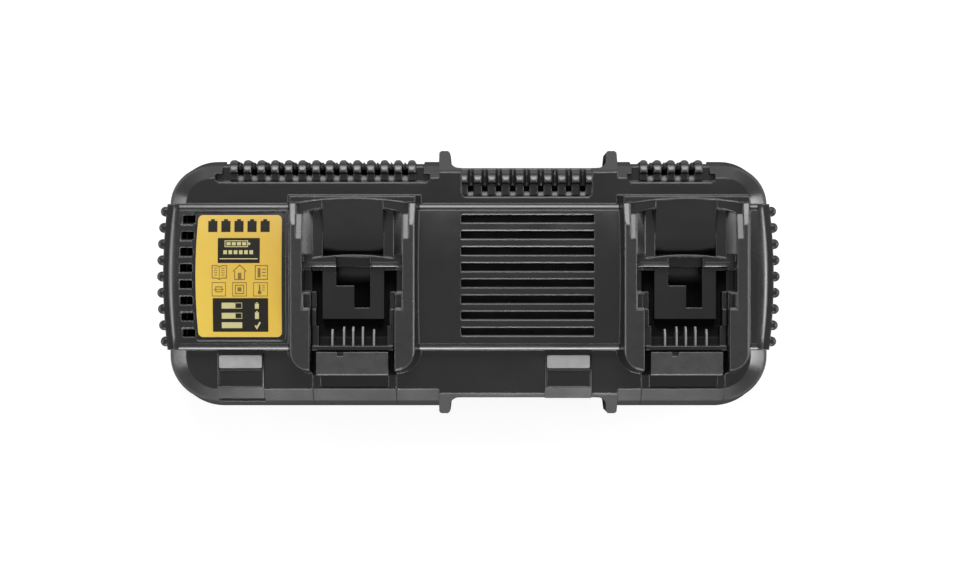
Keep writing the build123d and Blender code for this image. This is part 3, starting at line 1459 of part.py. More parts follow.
def make_winding():
    """Taped coil on its bobbin round the middle leg, with the bobbin's base on the board."""
    leg_half = core_middle / 2 + winding_clearance
    coil_half_x = core_length / 2 - core_leg - winding_clearance
    coil_half_y = core_depth / 2 + winding_overhang
    low = board_top_z + core_stand + core_leg + winding_clearance
    high = board_top_z + core_stand + core_height - core_leg - winding_clearance
    coil = block(core_x - coil_half_x, core_x + coil_half_x, core_y - coil_half_y, core_y + coil_half_y,
                 low, high)
    coil = fillet(coil.edges().filter_by(Axis.Z), winding_corner)
    coil = coil - block(core_x - leg_half, core_x + leg_half, core_y - core_depth / 2 - winding_clearance,
                        core_y + core_depth / 2 + winding_clearance, low - 1, high + 1)
    foot_tall = low + 1 - board_top_z
    foot_y = core_depth / 2 + bobbin_foot_offset
    feet = [on_board(core_x, core_y + side * foot_y, 2 * coil_half_x, bobbin_foot_depth, foot_tall)
            for side in (-1, 1)]
    return joined([coil] + feet)


def make_capacitors():
    """Bulk capacitors standing beside the transformer."""
    cans = []
    for y in pattern(2, capacitor_pitch, board_centre_y):
        can = rod(capacitor_x, y, board_top_z, board_top_z + capacitor_height, capacitor_radius)
        cans.append(chamfer(can.edges().group_by(Axis.Z)[-1], capacitor_edge))
    return group(cans)


def make_heat_sinks():
    """Aluminium plates with fins on one side."""
    sinks = []
    for x in heat_sink_positions:
        plate = block(x, x + heat_sink_plate, board_centre_y - heat_sink_length / 2,
                      board_centre_y + heat_sink_length / 2, board_top_z, board_top_z + heat_sink_height)
        fins = [block(x + heat_sink_plate - 0.5, x + heat_sink_plate + heat_sink_fin,
                      y - heat_sink_fin_thickness / 2, y + heat_sink_fin_thickness / 2,
                      board_top_z + heat_sink_fin_low, board_top_z + heat_sink_height)
                for y in pattern(heat_sink_fin_count, heat_sink_length / heat_sink_fin_count, board_centre_y)]
        sinks.append(joined([plate] + fins))
    return group(sinks)


def make_transistors():
    """Power transistors flat against the heat sinks."""
    bodies = []
    for x in heat_sink_positions:
        for place in transistor_places:
            y = board_centre_y + place
            low = board_top_z + transistor_stand
            bodies.append(block(x - transistor_thickness, x, y - transistor_width / 2,
                                y + transistor_width / 2, low, low + transistor_height))
            for lead_y in pattern(3, transistor_lead_pitch, y):
                bodies.append(on_board(x - transistor_thickness / 2, lead_y, transistor_lead, transistor_lead,
                                       transistor_stand))
    return group(bodies)


def ring(x, y, outer, hole, height):
    """A wound ring lying on the board."""
    high = board_top_z + height
    return rod(x, y, board_top_z, high, outer) - rod(x, y, board_top_z - 1, high + 1, hole)


def make_wire(x, connector_x):
    """Bundle from a holder's blade tails to its connector on the board."""
    start = (x, well_front_y + wire_from_well, blade_tail_z)
    turn = (x, well_front_y + wire_from_well, wire_turn_z)
    under = (connector_x, wire_connector_y, wire_turn_z)
    end = (connector_x, wire_connector_y, board_top_z + connector_height)
    path = FilletPolyline(start, turn, under, end, radius=wire_bend)
    return sweep(Plane(origin=start, z_dir=(0, 0, -1)) * Circle(wire_radius), path=path)


def make_connectors():
    """Headers on the board for the two bundles."""
    return group([on_board(x, wire_connector_y, connector_length, connector_depth, connector_height)
                  for x in connector_places])


def write(name, part):
    """Save one node."""
    export_step(part, os.path.join("parts", name + ".step"))


def main():
    os.makedirs("parts", exist_ok=True)
    shell = make_shell()
    write("top_housing", make_top_housing(shell))
    write("base_housing", make_tray())
    write("label_plate", make_label())
    write("grille_screen", make_screen())
    for side, x, pod_x, connector_x in zip(("left", "right"), bay_centres, pod_centres, connector_places):
        write("terminal_holder_" + side, make_holder(shell, x))
        write("key_slot_cover_" + side, make_key_cover(x))
        write("contact_blades_" + side, make_blades(x))
        write("indicator_bezel_" + side, make_bezel(pod_x))
        write("indicator_lens_" + side, make_lens(pod_x))
        write("led_board_" + side, make_led_board(pod_x))
        write("wire_harness_" + side, make_wire(x, connector_x))
    write("holder_screws", make_holder_screws())
    write("housing_screws", make_case_screws())
    write("board_screws", make_board_screws())
    write("rubber_feet", make_feet())
    write("cord_gland", make_gland())
    write("main_circuit_board", make_board())
    write("transformer_core", make_core())
    write("transformer_winding", make_winding())
    write("bulk_capacitors", make_capacitors())
    write("heat_sinks", make_heat_sinks())
    write("power_transistors", make_transistors())
    write("filter_choke", ring(choke_x, choke_y, ring_outer_radius, ring_inner_radius, ring_height))
    write("output_inductors", group([ring(output_ring_x, y, output_ring_radius, output_ring_hole,
                                          output_ring_height)
                                     for y in output_ring_y]))
    write("bridge_rectifier", on_board(rectifier_x, rectifier_y, rectifier_length, rectifier_depth,
                                       rectifier_height))
    write("mains_fuse", rod(fuse_x, fuse_y, board_top_z, board_top_z + fuse_height, fuse_radius))
    write("mains_terminal_block", on_board(terminal_x, terminal_y, terminal_length, terminal_depth,
                                           terminal_height))
    write("film_capacitors", group([on_board(film_x, y, film_length, film_depth, film_height)
                                    for y in film_y]))
    write("board_connectors", make_connectors())


main()
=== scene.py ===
# %% [markdown]
# Two-bay charger for slide-on battery packs, dressed and lit.
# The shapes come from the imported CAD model, which is loaded as a frame in metres: X along the case,
# Y from front to rear, Z up from the table. This lesson gives every moulding, blade, board and
# winding a finish that behaves like the real one, rounds over some edges that the model leaves plain,
# prints the label, and sets the light and the camera.

# %% Load the frame
import json
import math

import bmesh
import bpy
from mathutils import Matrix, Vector
from mathutils.bvhtree import BVHTree


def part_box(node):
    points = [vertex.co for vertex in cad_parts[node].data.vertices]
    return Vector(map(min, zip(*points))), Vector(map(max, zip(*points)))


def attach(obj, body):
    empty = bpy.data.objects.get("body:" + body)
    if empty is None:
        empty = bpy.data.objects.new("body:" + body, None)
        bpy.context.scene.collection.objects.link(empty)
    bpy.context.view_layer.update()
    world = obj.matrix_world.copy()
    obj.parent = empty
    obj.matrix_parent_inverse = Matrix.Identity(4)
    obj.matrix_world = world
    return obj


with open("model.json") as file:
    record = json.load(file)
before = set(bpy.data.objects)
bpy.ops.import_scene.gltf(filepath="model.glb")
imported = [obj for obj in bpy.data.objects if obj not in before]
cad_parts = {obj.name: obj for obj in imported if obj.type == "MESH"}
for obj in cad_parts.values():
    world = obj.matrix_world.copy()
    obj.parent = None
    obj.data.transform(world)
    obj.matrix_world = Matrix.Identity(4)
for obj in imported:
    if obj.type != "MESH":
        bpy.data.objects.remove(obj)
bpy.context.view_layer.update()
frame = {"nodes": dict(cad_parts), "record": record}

nodes = frame["nodes"]

# %% [markdown]
# Sizes on a moulding are known in millimetres, and Blender wants metres. One small constant keeps the
# numbers readable: 3 * MM is three millimetres.

# %% Millimetres
MM = 0.001
print("one millimetre is", MM, "of Blender's units")

# %% [markdown]
# The charger is seen from straight above, from far enough that its sides hardly show. The lens is given
# by its angle: the render is 980 pixels wide, and a pixel at table height is 1400/2176 millimetres.

# %% Camera above the case
SENSOR_WIDTH = 36.0
RENDER_WIDTH = 980
PIXELS_PER_UNIT_SLOPE = 2176
CAMERA_PLACE = (13.3 * MM, -7.45 * MM, 1400 * MM)
camera_data = bpy.data.cameras.new("overhead_camera")
camera_data.sensor_width = SENSOR_WIDTH
camera_data.sensor_fit = "HORIZONTAL"
camera_data.lens = SENSOR_WIDTH * PIXELS_PER_UNIT_SLOPE / RENDER_WIDTH
camera = bpy.data.objects.new("overhead_camera", camera_data)
camera.location = CAMERA_PLACE
bpy.context.scene.collection.objects.link(camera)
bpy.context.scene.camera = camera
print("focal length", round(camera_data.lens, 2), "mm")

# %% [markdown]
# Table, room and every finish are made of shader nodes, and they all need the same few steps: add a node,
# fill its sockets, work something out from two values. One class holds these steps for any tree of nodes,
# so that what follows reads like a recipe and not like wiring.

# %% Short ways to wire nodes


class Wiring:
    """Short ways to add the nodes of one tree and to join them."""

    def __init__(self, tree):
        self.tree = tree

    def add(self, kind, settings=None, **sockets):
        """One node; settings are its own properties, sockets are numbers, colours or outputs."""
        node = self.tree.nodes.new(kind)
        for key, value in (settings or {}).items():
            setattr(node, key, value)
        for key, value in sockets.items():
            self.fill(node.inputs[self.socket_name(key)], value)
        return node

    def socket_name(self, key):
        """Sockets are given as words_with_lines or as i0, i1 for numbered ones."""
        if key[0] == "i" and key[1:].isdigit():
            return int(key[1:])
        return key.replace("_", " ")

    def fill(self, socket, value):
        """Links an output, or writes a number or a colour."""
        if isinstance(value, bpy.types.NodeSocket):
            self.tree.links.new(value, socket)
        elif isinstance(value, tuple) and len(value) == 3 and socket.type == "RGBA":
            socket.default_value = (*value, 1)
        else:
            socket.default_value = value

    def maths(self, operation, a, b=0.0):
        """One sum of two values."""
        return self.add("ShaderNodeMath", {"operation": operation}, i0=a, i1=b).outputs[0]

    def spread(self, value, low, high, to_low, to_high):
        """Maps a range of a value to another and clamps it."""
        node = self.add("ShaderNodeMapRange", Value=value)
        for key, number in (("From Min", low), ("From Max", high), ("To Min", to_low), ("To Max", to_high)):
            node.inputs[key].default_value = number
        return node.outputs["Result"]

    def camera_ray(self):
        """1 for rays straight from the camera."""
        return self.add("ShaderNodeLightPath").outputs["Is Camera Ray"]

    def mirrored_ray(self):
        """1 for rays in a gloss or through glass."""
        path = self.add("ShaderNodeLightPath").outputs
        return self.maths("MAXIMUM", path["Is Glossy Ray"], path["Is Transmission Ray"])


print("wiring helpers ready")

# %% [markdown]
# A finish is a material with its main shader and the textures that feed it. Noise makes most of them: it
# is sized in millimetres of the real object, so a grain is as fine as the tool that made it. The Bevel
# node eases the model's sharp edges for the light alone, and shows as well where an edge would be rubbed.

# %% Short ways to make a finish
NOISE_LOW, NOISE_HIGH = 0.3, 0.7  # nearly all of a noise lies between these
BEVEL_SAMPLES = 6
WORN_LEAN, FLAT_LEAN = 0.8, 0.97  # cosines of how far an eased edge leans from its face
finishes = {}


class Finish(Wiring):
    """A material under construction, kept among the finishes under its name."""

    def __init__(self, name):
        self.material = bpy.data.materials.new(name)
        self.material.use_nodes = True
        super().__init__(self.material.node_tree)
        self.shader = self.tree.nodes["Principled BSDF"]
        self.place = self.add("ShaderNodeTexCoord").outputs["Object"]
        finishes[name] = self.material

    def stretched(self, x, y, z):
        """Object place with each axis scaled, for grain that runs one way."""
        return self.add("ShaderNodeMapping", Vector=self.place, Scale=(x, y, z)).outputs["Vector"]

    def noise(self, size_mm, detail=2.0, place=None):
        """Soft noise whose blobs are about size_mm across, from 0 to 1."""
        node = self.add("ShaderNodeTexNoise", Vector=place or self.place, Scale=1 / (size_mm * MM),
                        Detail=detail)
        return node.outputs["Fac"]

    def between(self, noise, low, high):
        """Stretches a noise so that it wanders from low to high."""
        return self.spread(noise, NOISE_LOW, NOISE_HIGH, low, high)

    def blend(self, share, a, b):
        """Mixes two colours."""
        node = self.add("ShaderNodeMix", {"data_type": "RGBA"})
        self.fill(node.inputs["Factor"], share)
        colour_sockets = [s for s in node.inputs if s.type == "RGBA"]
        self.fill(colour_sockets[0], a)
        self.fill(colour_sockets[1], b)
        return [s for s in node.outputs if s.type == "RGBA"][0]

    def bump(self, height, depth_mm, normal=None):
        """Raises the surface by a texture."""
        node = self.add("ShaderNodeBump", Height=height, Distance=depth_mm * MM)
        if normal is not None:
            self.tree.links.new(normal, node.inputs["Normal"])
        return node.outputs["Normal"]

    def rounded(self, radius_mm):
        """The normal of edges eased by a small radius."""
        node = self.add("ShaderNodeBevel", {"samples": BEVEL_SAMPLES}, Radius=radius_mm * MM)
        return node.outputs["Normal"]

    def edge_wear(self, eased):
        """1 on eased edges and 0 on flats, from how far the eased normal leans."""
        true_normal = self.add("ShaderNodeNewGeometry").outputs["Normal"]
        lean = self.add("ShaderNodeVectorMath", {"operation": "DOT_PRODUCT"}, i0=eased, i1=true_normal)
        return self.spread(lean.outputs["Value"], FLAT_LEAN, WORN_LEAN, 0.0, 1.0)

    def set(self, **sockets):
        """Fills the shader's sockets."""
        for key, value in sockets.items():
            self.fill(self.shader.inputs[self.socket_name(key)], value)


print("finish helpers ready")

# %% [markdown]
# A studio table that runs out to white. Its top is pale, and only rays from the camera, in a gloss or
# through glass see it glow, so the page is white while the shadow under the case stays. Next to the case
# the table turns dark for mirrored rays, since steep walls mirror it just where they shade it. Far out
# its glow grows to the full white of the page, so that no horizon shows from the side.

# %% Table top
FLOOR_HALF = 4.0
FLOOR_PALE = 0.3
FLOOR_GLOW = 0.8
WHITE_REACH = 1.2
CASE_HALF = (0.186, 0.077)
CONTACT_REACH = 0.08
CONTACT_CURVE = 0.7


def away_from_case(f, reach, at_case, at_reach):
    """A value on the floor that runs from at_case beside the case to at_reach at a distance."""
    place = f.add("ShaderNodeSeparateXYZ", Vector=f.place).outputs
    away = [f.maths("SUBTRACT", f.maths("ABSOLUTE", place[axis]), half)
            for axis, half in zip("XY", CASE_HALF)]
    return f.spread(f.maths("MAXIMUM", *away), 0.0, reach, at_case, at_reach)


def pale_table():
    """Pale matt top that glows for the camera and fades beside the case for mirrored rays."""
    f = Finish("pale_table")
    hidden = f.maths("POWER", away_from_case(f, CONTACT_REACH, 1.0, 0.0), CONTACT_CURVE)
    shade = f.maths("SUBTRACT", 1.0, f.maths("MULTIPLY", f.mirrored_ray(), hidden))
    seen = f.maths("MAXIMUM", f.camera_ray(), f.mirrored_ray())
    far_glow = away_from_case(f, WHITE_REACH, FLOOR_GLOW, 1.0)
    f.set(Base_Color=f.maths("MULTIPLY", shade, FLOOR_PALE), Roughness=0.9, Specular_IOR_Level=0.1)
    f.set(Emission_Color=(1.0, 1.0, 1.0),
          Emission_Strength=f.maths("MULTIPLY", f.maths("MULTIPLY", seen, shade), far_glow))


pale_table()
floor_mesh = bpy.data.meshes.new("table_top")
floor_form = bmesh.new()
corners = [(-1, -1), (1, -1), (1, 1), (-1, 1)]
floor_form.faces.new([floor_form.verts.new((x * FLOOR_HALF, y * FLOOR_HALF, 0)) for x, y in corners])
floor_form.to_mesh(floor_mesh)
floor_form.free()
floor_mesh.materials.append(finishes["pale_table"])
floor = bpy.data.objects.new("table_top", floor_mesh)
bpy.context.scene.collection.objects.link(floor)
print("table:", 2 * FLOOR_HALF, "m wide")

# %% [markdown]
# The camera sees the room as white as the page, and glosses see it dimmer, as the walls of a studio are
# beside its lamps. What falls on the charger from it besides is faint, so that hollows stay dark.

# %% Room
ROOM_LIGHT = 0.08
ROOM_MIRRORED = 0.58
room = bpy.data.worlds.new("studio_room")
bpy.context.scene.world = room
room.use_nodes = True
walls = Wiring(room.node_tree)
background = walls.tree.nodes["Background"]
in_gloss = walls.maths("MULTIPLY", walls.mirrored_ray(), ROOM_MIRRORED)
seen_room = walls.maths("MAXIMUM", walls.camera_ray(), in_gloss)
walls.fill(background.inputs["Color"], (1.0, 1.0, 1.0))
walls.fill(background.inputs["Strength"], walls.maths("MAXIMUM", seen_room, ROOM_LIGHT))
bpy.context.scene.view_settings.view_transform = "Standard"
print("room light", ROOM_LIGHT)

# %% [markdown]
# Black plastic is drawn by what it reflects. Behind the table stand three soft boxes one over another, so
# that faces leaning back at any angle find one of them. One box stands in front and one at each end, low
# enough to light the bevels that face them and to leave the corners between them dark.

# %% Soft boxes
OBJECT_MIDDLE = Vector((0.0, 0.0, 0.05))
BOX_WIDTH, BOX_HEIGHT = 0.9, 0.45
SOFT_BOXES = {
    "rear_box": ((0.0, 1.32, 0.75), 4.5),
    "rear_upper_box": ((0.0, 1.11, 1.05), 11),
    "rear_top_box": ((0.0, 0.90, 1.23), 9),
    "front_box": ((0.0, -1.45, 0.41), 24),
    "left_box": ((-1.45, 0.0, 0.41), 9),
    "right_box": ((1.45, 0.0, 0.41), 15),
}

for name, (place, power) in SOFT_BOXES.items():
    lamp = bpy.data.lights.new(name, "AREA")
    lamp.shape = "RECTANGLE"
    lamp.size = BOX_WIDTH
    lamp.size_y = BOX_HEIGHT
    lamp.energy = power
    holder = bpy.data.objects.new(name, lamp)
    holder.location = place
    holder.rotation_euler = (OBJECT_MIDDLE - Vector(place)).to_track_quat("-Z", "Y").to_euler()
    bpy.context.scene.collection.objects.link(holder)
print("lamps:", list(SOFT_BOXES))

# %% [markdown]
# The casings are glass-filled black nylon with a spark-eroded grain. The grain breaks the highlights up,
# handling polishes it in patches, and raised edges go a little greyer. The eased edges are about a
# millimetre wide, so each catches a line of light as a moulded edge does. The highest faces are painted
# greyer in blotches, a painted sheen for the light they catch, and the deep pockets are left matt, so they
# stay dark. The last plastic is for forms that are rounded in the mesh itself and need no easing.

# %% Moulded black plastic
POCKETS_END = -56.9 * MM  # in front of this the insert is an open apron
PATCH_MM = 28  # polished patches, rubbed stretches of an edge, blotches of the painted sheen on top, specks of dust
RUB_MM = 9
TOP_SHEEN_BLOTCH_MM = 6
DUST_MM = 0.5
GRAIN_DEPTH_MM = 0.012
# The top grey of each plastic is a painted sheen: grey added to its highest faces for the light they catch.
PLASTICS = {
    "case_black": dict(colour=(0.01, 0.01, 0.0105), grain_mm=0.35, roughness=0.22, edge_mm=1.3, wear=0.6,
                       top_sheen_grey=0.012),
    "insert_black": dict(colour=(0.006, 0.006, 0.0065), grain_mm=0.3, roughness=0.24, edge_mm=0.8, wear=0.5,
                         top_mm=82.5, top_sheen_grey=0.04, pocket_mm=66),
    "bezel_black": dict(colour=(0.008, 0.008, 0.0085), grain_mm=0.3, roughness=0.2, edge_mm=0.4, wear=0.6),
    "toe_black": dict(colour=(0.01, 0.01, 0.0105), grain_mm=0.35, roughness=0.22, edge_mm=0.02, wear=0.0),
}


def moulded_plastic(name, colour, grain_mm, roughness, edge_mm, wear, top_mm=84, top_sheen_grey=0.0, pocket_mm=0):
    """Grained plastic with rubbed edges, a painted sheen on the faces at top_mm and matt pockets below
    pocket_mm.
    """
    f = Finish(name)
    eased = f.rounded(edge_mm)
    patches = f.noise(PATCH_MM, detail=3.0)
    worn = f.maths("MULTIPLY", f.edge_wear(eased), f.spread(f.noise(RUB_MM, detail=4.0), 0.35, 0.7, 0.3, 1.0))
    base = f.blend(f.between(patches, 0.0, 1.0), tuple(c * 0.8 for c in colour), colour)
    rubbed = f.blend(f.maths("MULTIPLY", worn, wear), base, tuple(min(1.0, c * 3.0 + 0.02) for c in colour))
    dust = f.spread(f.noise(DUST_MM, detail=1.0), 0.74, 0.8, 0.0, 0.25)
    dusty = f.blend(dust, rubbed, tuple(c * 1.8 for c in colour))
    place = f.add("ShaderNodeSeparateXYZ", Vector=f.place).outputs
    # Painted sheen: faces at the top height are painted greyer in blotches, in place of the light they catch.
    painted_top_sheen = f.maths("MULTIPLY", f.spread(place["Z"], (top_mm - 1.5) * MM, (top_mm - 0.8) * MM, 0.0, 1.0),
                     f.spread(f.noise(TOP_SHEEN_BLOTCH_MM, detail=4.0), 0.3, 0.6, 0.7, 1.0))
    above = f.spread(place["Z"], (pocket_mm - 2) * MM, (pocket_mm + 3) * MM, 0.0, 1.0)
    in_front = f.spread(place["Y"], POCKETS_END - MM, POCKETS_END, 1.0, 0.0)
    open_air = f.maths("MAXIMUM", above, in_front)
    gloss = f.between(patches, roughness - 0.05, roughness + 0.07)
    f.set(Base_Color=f.blend(painted_top_sheen, dusty, tuple(c + top_sheen_grey for c in colour)))
    f.set(Roughness=f.maths("ADD", gloss, f.spread(open_air, 0.0, 1.0, 0.45, 0.0)))
    f.set(Specular_IOR_Level=f.spread(open_air, 0.0, 1.0, 0.12, 0.5))
    f.set(Normal=f.bump(f.noise(grain_mm), GRAIN_DEPTH_MM, eased))


for name, values in PLASTICS.items():
    moulded_plastic(name, **values)
print("plastics:", list(PLASTICS))

# %% [markdown]
# The label is a printed polyester film: a warm yellow with a clear top layer. It is a shade more orange
# towards the bays and at the rear, and its film has the faint waviness of a sheet laid by hand. The
# shading is worked out from the place on the case, which needs no picture and stays sharp at any size.

# %% Label film
LABEL_YELLOW = (0.68, 0.48, 0.072)
LABEL_ORANGE = (0.62, 0.39, 0.05)
LABEL_CUT_EDGE = (0.6, 0.53, 0.3)
LABEL_TO_BAYS = (-0.166, -0.114)  # from where to where, in metres, it shades to orange
LABEL_TO_REAR = (-0.033, 0.04)
LABEL_EDGE_MM = 0.7


def label_film(name):
    """Yellow film that shades to orange, under a clear layer, with a pale cut edge."""
    f = Finish(name)
    eased = f.rounded(LABEL_EDGE_MM)
    place = f.add("ShaderNodeSeparateXYZ", Vector=f.place).outputs
    across = f.spread(place["X"], *LABEL_TO_BAYS, 0.0, 0.6)
    along = f.spread(place["Y"], *LABEL_TO_REAR, 0.0, 0.4)
    share = f.maths("ADD", f.maths("ADD", across, along), f.between(f.noise(12), -0.1, 0.1))
    cut_edge = f.maths("MULTIPLY", f.edge_wear(eased), 0.6)
    f.set(Base_Color=f.blend(cut_edge, f.blend(share, LABEL_YELLOW, LABEL_ORANGE), LABEL_CUT_EDGE))
    f.set(Roughness=f.between(f.noise(20), 0.34, 0.42), Normal=f.bump(f.noise(8), 0.05, eased))
    f.set(Coat_Weight=0.3, Coat_Roughness=0.25)


label_film("label_yellow")
print("label film from", LABEL_YELLOW, "to", LABEL_ORANGE)

# %% [markdown]
# Three inks are screen printed on the film, dark, brown and cream. Ink lies nearly even and thinner in
# places. The dark one is laid thick and shines less than the film, so it keeps its depth under the lamps.

# %% Printing inks
INKS = {
    "ink_dark": dict(colour=(0.014, 0.012, 0.009), shine=0.15),
    "ink_brown": dict(colour=(0.2, 0.12, 0.03), shine=0.5),
    "ink_cream": dict(colour=(0.55, 0.5, 0.24), shine=0.5),
}


def printing_ink(name, colour, shine):
    """Screen-printed ink, nearly even and thinner in places."""
    f = Finish(name)
    thin = f.spread(f.noise(1.2, detail=4.0), 0.35, 0.7, 0.0, 0.35)
    f.set(Base_Color=f.blend(thin, colour, tuple(0.8 * c + 0.02 for c in colour)))
    f.set(Roughness=f.between(f.noise(15), 0.32, 0.4), Normal=f.bump(f.noise(0.5), 0.008))
    f.set(Specular_IOR_Level=shine, Coat_Weight=shine / 2, Coat_Roughness=0.25)


for name, values in INKS.items():
    printing_ink(name, **values)
print("inks:", list(INKS))

# %% [markdown]
# The light guides are milky polycarbonate: grey with the board's dark behind them, soft in their own
# thickness and slightly frosted. Clear plastic would need the board behind it lit to look right, so a
# cloudy grey with a little light under its surface stands for it.

# %% Light guides


def milky_guide(name):
    """Frosted translucent plastic."""
    f = Finish(name)
    cloud = f.between(f.noise(6, detail=3.0), 0.0, 1.0)
    f.set(Base_Color=f.blend(cloud, (0.3, 0.3, 0.305), (0.36, 0.36, 0.365)))
    f.set(Roughness=f.between(f.noise(3), 0.3, 0.4), Normal=f.bump(f.noise(0.4), 0.01, f.rounded(0.3)))
    f.set(Subsurface_Weight=0.15, Subsurface_Scale=2 * MM, Coat_Weight=0.2, Coat_Roughness=0.2)


milky_guide("lens_clear")
print("light guides ready")

# %% [markdown]
# Blades, screws and heat sinks are metal, and differ in how they were made: the blades were rolled and
# tinned, the screws turned and plated, the sinks extruded. Each process leaves lines in one direction,
# which is noise stretched along that direction, in the roughness and in a very shallow bump.

# %% Metals
METALS = {
    "contact_tin": dict(colour=(0.34, 0.34, 0.33), tarnish=(0.12, 0.11, 0.1), lines=(6, 0.3, 6),
                        roughness=0.36, tarnish_share=0.35),
    "screw_steel": dict(colour=(0.6, 0.6, 0.58), tarnish=(0.3, 0.28, 0.22), lines=(3, 3, 0.4),
                        roughness=0.32, tarnish_share=0.3),
    "sink_aluminium": dict(colour=(0.7, 0.7, 0.72), tarnish=(0.5, 0.5, 0.5), lines=(5, 5, 0.2),
                           roughness=0.38, tarnish_share=0.2),
}


def worked_metal(name, colour, tarnish, lines, roughness, tarnish_share):
    """Metal with drawn lines along one axis and tarnished patches."""
    f = Finish(name)
    drawn = f.noise(1.0, detail=3.0, place=f.stretched(*lines))
    patches = f.spread(f.noise(4, detail=4.0), 0.45, 0.75, 0.0, tarnish_share)
    f.set(Base_Color=f.blend(patches, colour, tarnish), Metallic=1.0)
    f.set(Roughness=f.maths("ADD", f.between(drawn, roughness - 0.06, roughness + 0.06), patches))
    f.set(Normal=f.bump(drawn, 0.02, f.rounded(0.15)))


for name, values in METALS.items():
    worked_metal(name, **values)
print("metals:", list(METALS))

# %% [markdown]
# Feet, the cord's bush and the sleeves of the wires are rubber or soft vinyl. They have no gloss to speak
# of and hold dust in their pores. A plain dark colour would look like paint, so noise gives both the
# pores, as a shallow bump, and the dust, as a paler colour that is rougher too.

# %% Rubber and sleeves
RUBBERS = {
    "foot_rubber": dict(colour=(0.045, 0.045, 0.045), pore_mm=0.6, roughness=0.72),
    "gland_rubber": dict(colour=(0.025, 0.025, 0.025), pore_mm=0.4, roughness=0.6),
    "wire_sleeve": dict(colour=(0.06, 0.06, 0.065), pore_mm=0.8, roughness=0.5),
}


def rubber(name, colour, pore_mm, roughness):
    """Matt, porous and a little dusty."""
    f = Finish(name)
    dust = f.spread(f.noise(5, detail=5.0), 0.45, 0.8, 0.0, 0.5)
    f.set(Base_Color=f.blend(dust, colour, tuple(c * 2 + 0.03 for c in colour)))
    f.set(Roughness=f.maths("ADD", roughness, f.maths("MULTIPLY", dust, 0.2)), Specular_IOR_Level=0.35)
    f.set(Normal=f.bump(f.noise(pore_mm, detail=3.0), 0.04, f.rounded(0.4)))


for name, values in RUBBERS.items():
    rubber(name, **values)
print("rubbers:", list(RUBBERS))

# %% [markdown]
# The circuit boards sit inside, seen only with the case open: glass cloth under green lacquer, with
# copper tracks showing through. The Brick texture gives the tracks their straight edges, and two crossed
# Wave textures give the weave of the cloth.

# %% Circuit boards
TRACK_SCALE = 120.0
WEAVE_SCALE = 700.0


def circuit_board(name):
    """Green lacquer over copper tracks on a glass weave."""
    f = Finish(name)
    tracks = f.add("ShaderNodeTexBrick", Vector=f.place, Scale=TRACK_SCALE, Mortar_Size=0.04,
                   Color1=(1.0, 1.0, 1.0), Color2=(0.6, 0.6, 0.6), Mortar=(0.0, 0.0, 0.0)).outputs["Fac"]
    threads = [f.add("ShaderNodeTexWave", {"bands_direction": axis}, Vector=f.place, Scale=WEAVE_SCALE)
               for axis in "XY"]
    weave = f.maths("MULTIPLY", threads[0].outputs["Fac"], threads[1].outputs["Fac"])
    green = f.blend(tracks, (0.02, 0.16, 0.06), (0.01, 0.09, 0.035))
    f.set(Base_Color=f.blend(f.maths("MULTIPLY", weave, 0.3), green, (0.04, 0.2, 0.09)))
    f.set(Roughness=f.between(f.noise(9), 0.28, 0.4), Normal=f.bump(tracks, 0.04))
    f.set(Coat_Weight=0.4, Coat_Roughness=0.15)


circuit_board("board_green")
print("circuit boards ready")

# %% [markdown]
# Most other parts on the boards are pressed, moulded or shrunk on: the ferrite core, capacitor sleeves,
# epoxy bodies, terminal block, film boxes and nylon housings, and the dark screen under the grille. They
# differ in colour, grain and gloss alone, so one function makes them all from a table.

# %% Pressed and moulded parts
PRESSED = {
    "screen_black": dict(colour=(0.006, 0.006, 0.006), speck=(0.012, 0.012, 0.012), grain_mm=0.4,
                         roughness=0.7),
    "ferrite": dict(colour=(0.07, 0.07, 0.075), speck=(0.12, 0.12, 0.12), grain_mm=0.3, roughness=0.6),
    "capacitor_sleeve": dict(colour=(0.02, 0.03, 0.07), speck=(0.04, 0.05, 0.1), grain_mm=1.5,
                             roughness=0.3, coat=0.5),
    "epoxy_black": dict(colour=(0.025, 0.025, 0.025), speck=(0.05, 0.05, 0.05), grain_mm=0.25, roughness=0.5),
    "terminal_green": dict(colour=(0.05, 0.3, 0.1), speck=(0.04, 0.25, 0.08), grain_mm=0.5,
                           roughness=0.4, coat=0.2),
    "film_capacitor_box": dict(colour=(0.6, 0.55, 0.4), speck=(0.5, 0.46, 0.33), grain_mm=0.4,
                               roughness=0.4, coat=0.3),
    "connector_nylon": dict(colour=(0.75, 0.72, 0.62), speck=(0.65, 0.62, 0.52), grain_mm=0.5,
                            roughness=0.45),
    "glass_fuse": dict(colour=(0.25, 0.24, 0.22), speck=(0.18, 0.17, 0.16), grain_mm=0.8,
                       roughness=0.35, coat=0.4),
}


def pressed(name, colour, speck, grain_mm, roughness, coat=0.0):
    """Pressed, moulded or shrunk surface: fine grain with specks of another shade."""
    f = Finish(name)
    specks = f.spread(f.noise(grain_mm * 2, detail=3.0), 0.55, 0.72, 0.0, 0.7)
    f.set(Base_Color=f.blend(specks, colour, speck))
    f.set(Roughness=f.between(f.noise(7), roughness - 0.05, roughness + 0.05))
    f.set(Normal=f.bump(f.noise(grain_mm), 0.03, f.rounded(0.4)))
    f.set(Coat_Weight=coat, Coat_Roughness=0.2)


for name, values in PRESSED.items():
    pressed(name, **values)
print("pressed and moulded:", list(PRESSED))

# %% [markdown]
# Under the key slot of each bay lies a black cover. Where the slot is open to the light its plate is
# polished and catches a glint, and towards the front it is matt, so that the slot looks bottomless. One
# blend along Y drives both the roughness and the shine.

# %% Covers of the key slots
POLISHED_TO_MATT = (-1 * MM, 5 * MM)


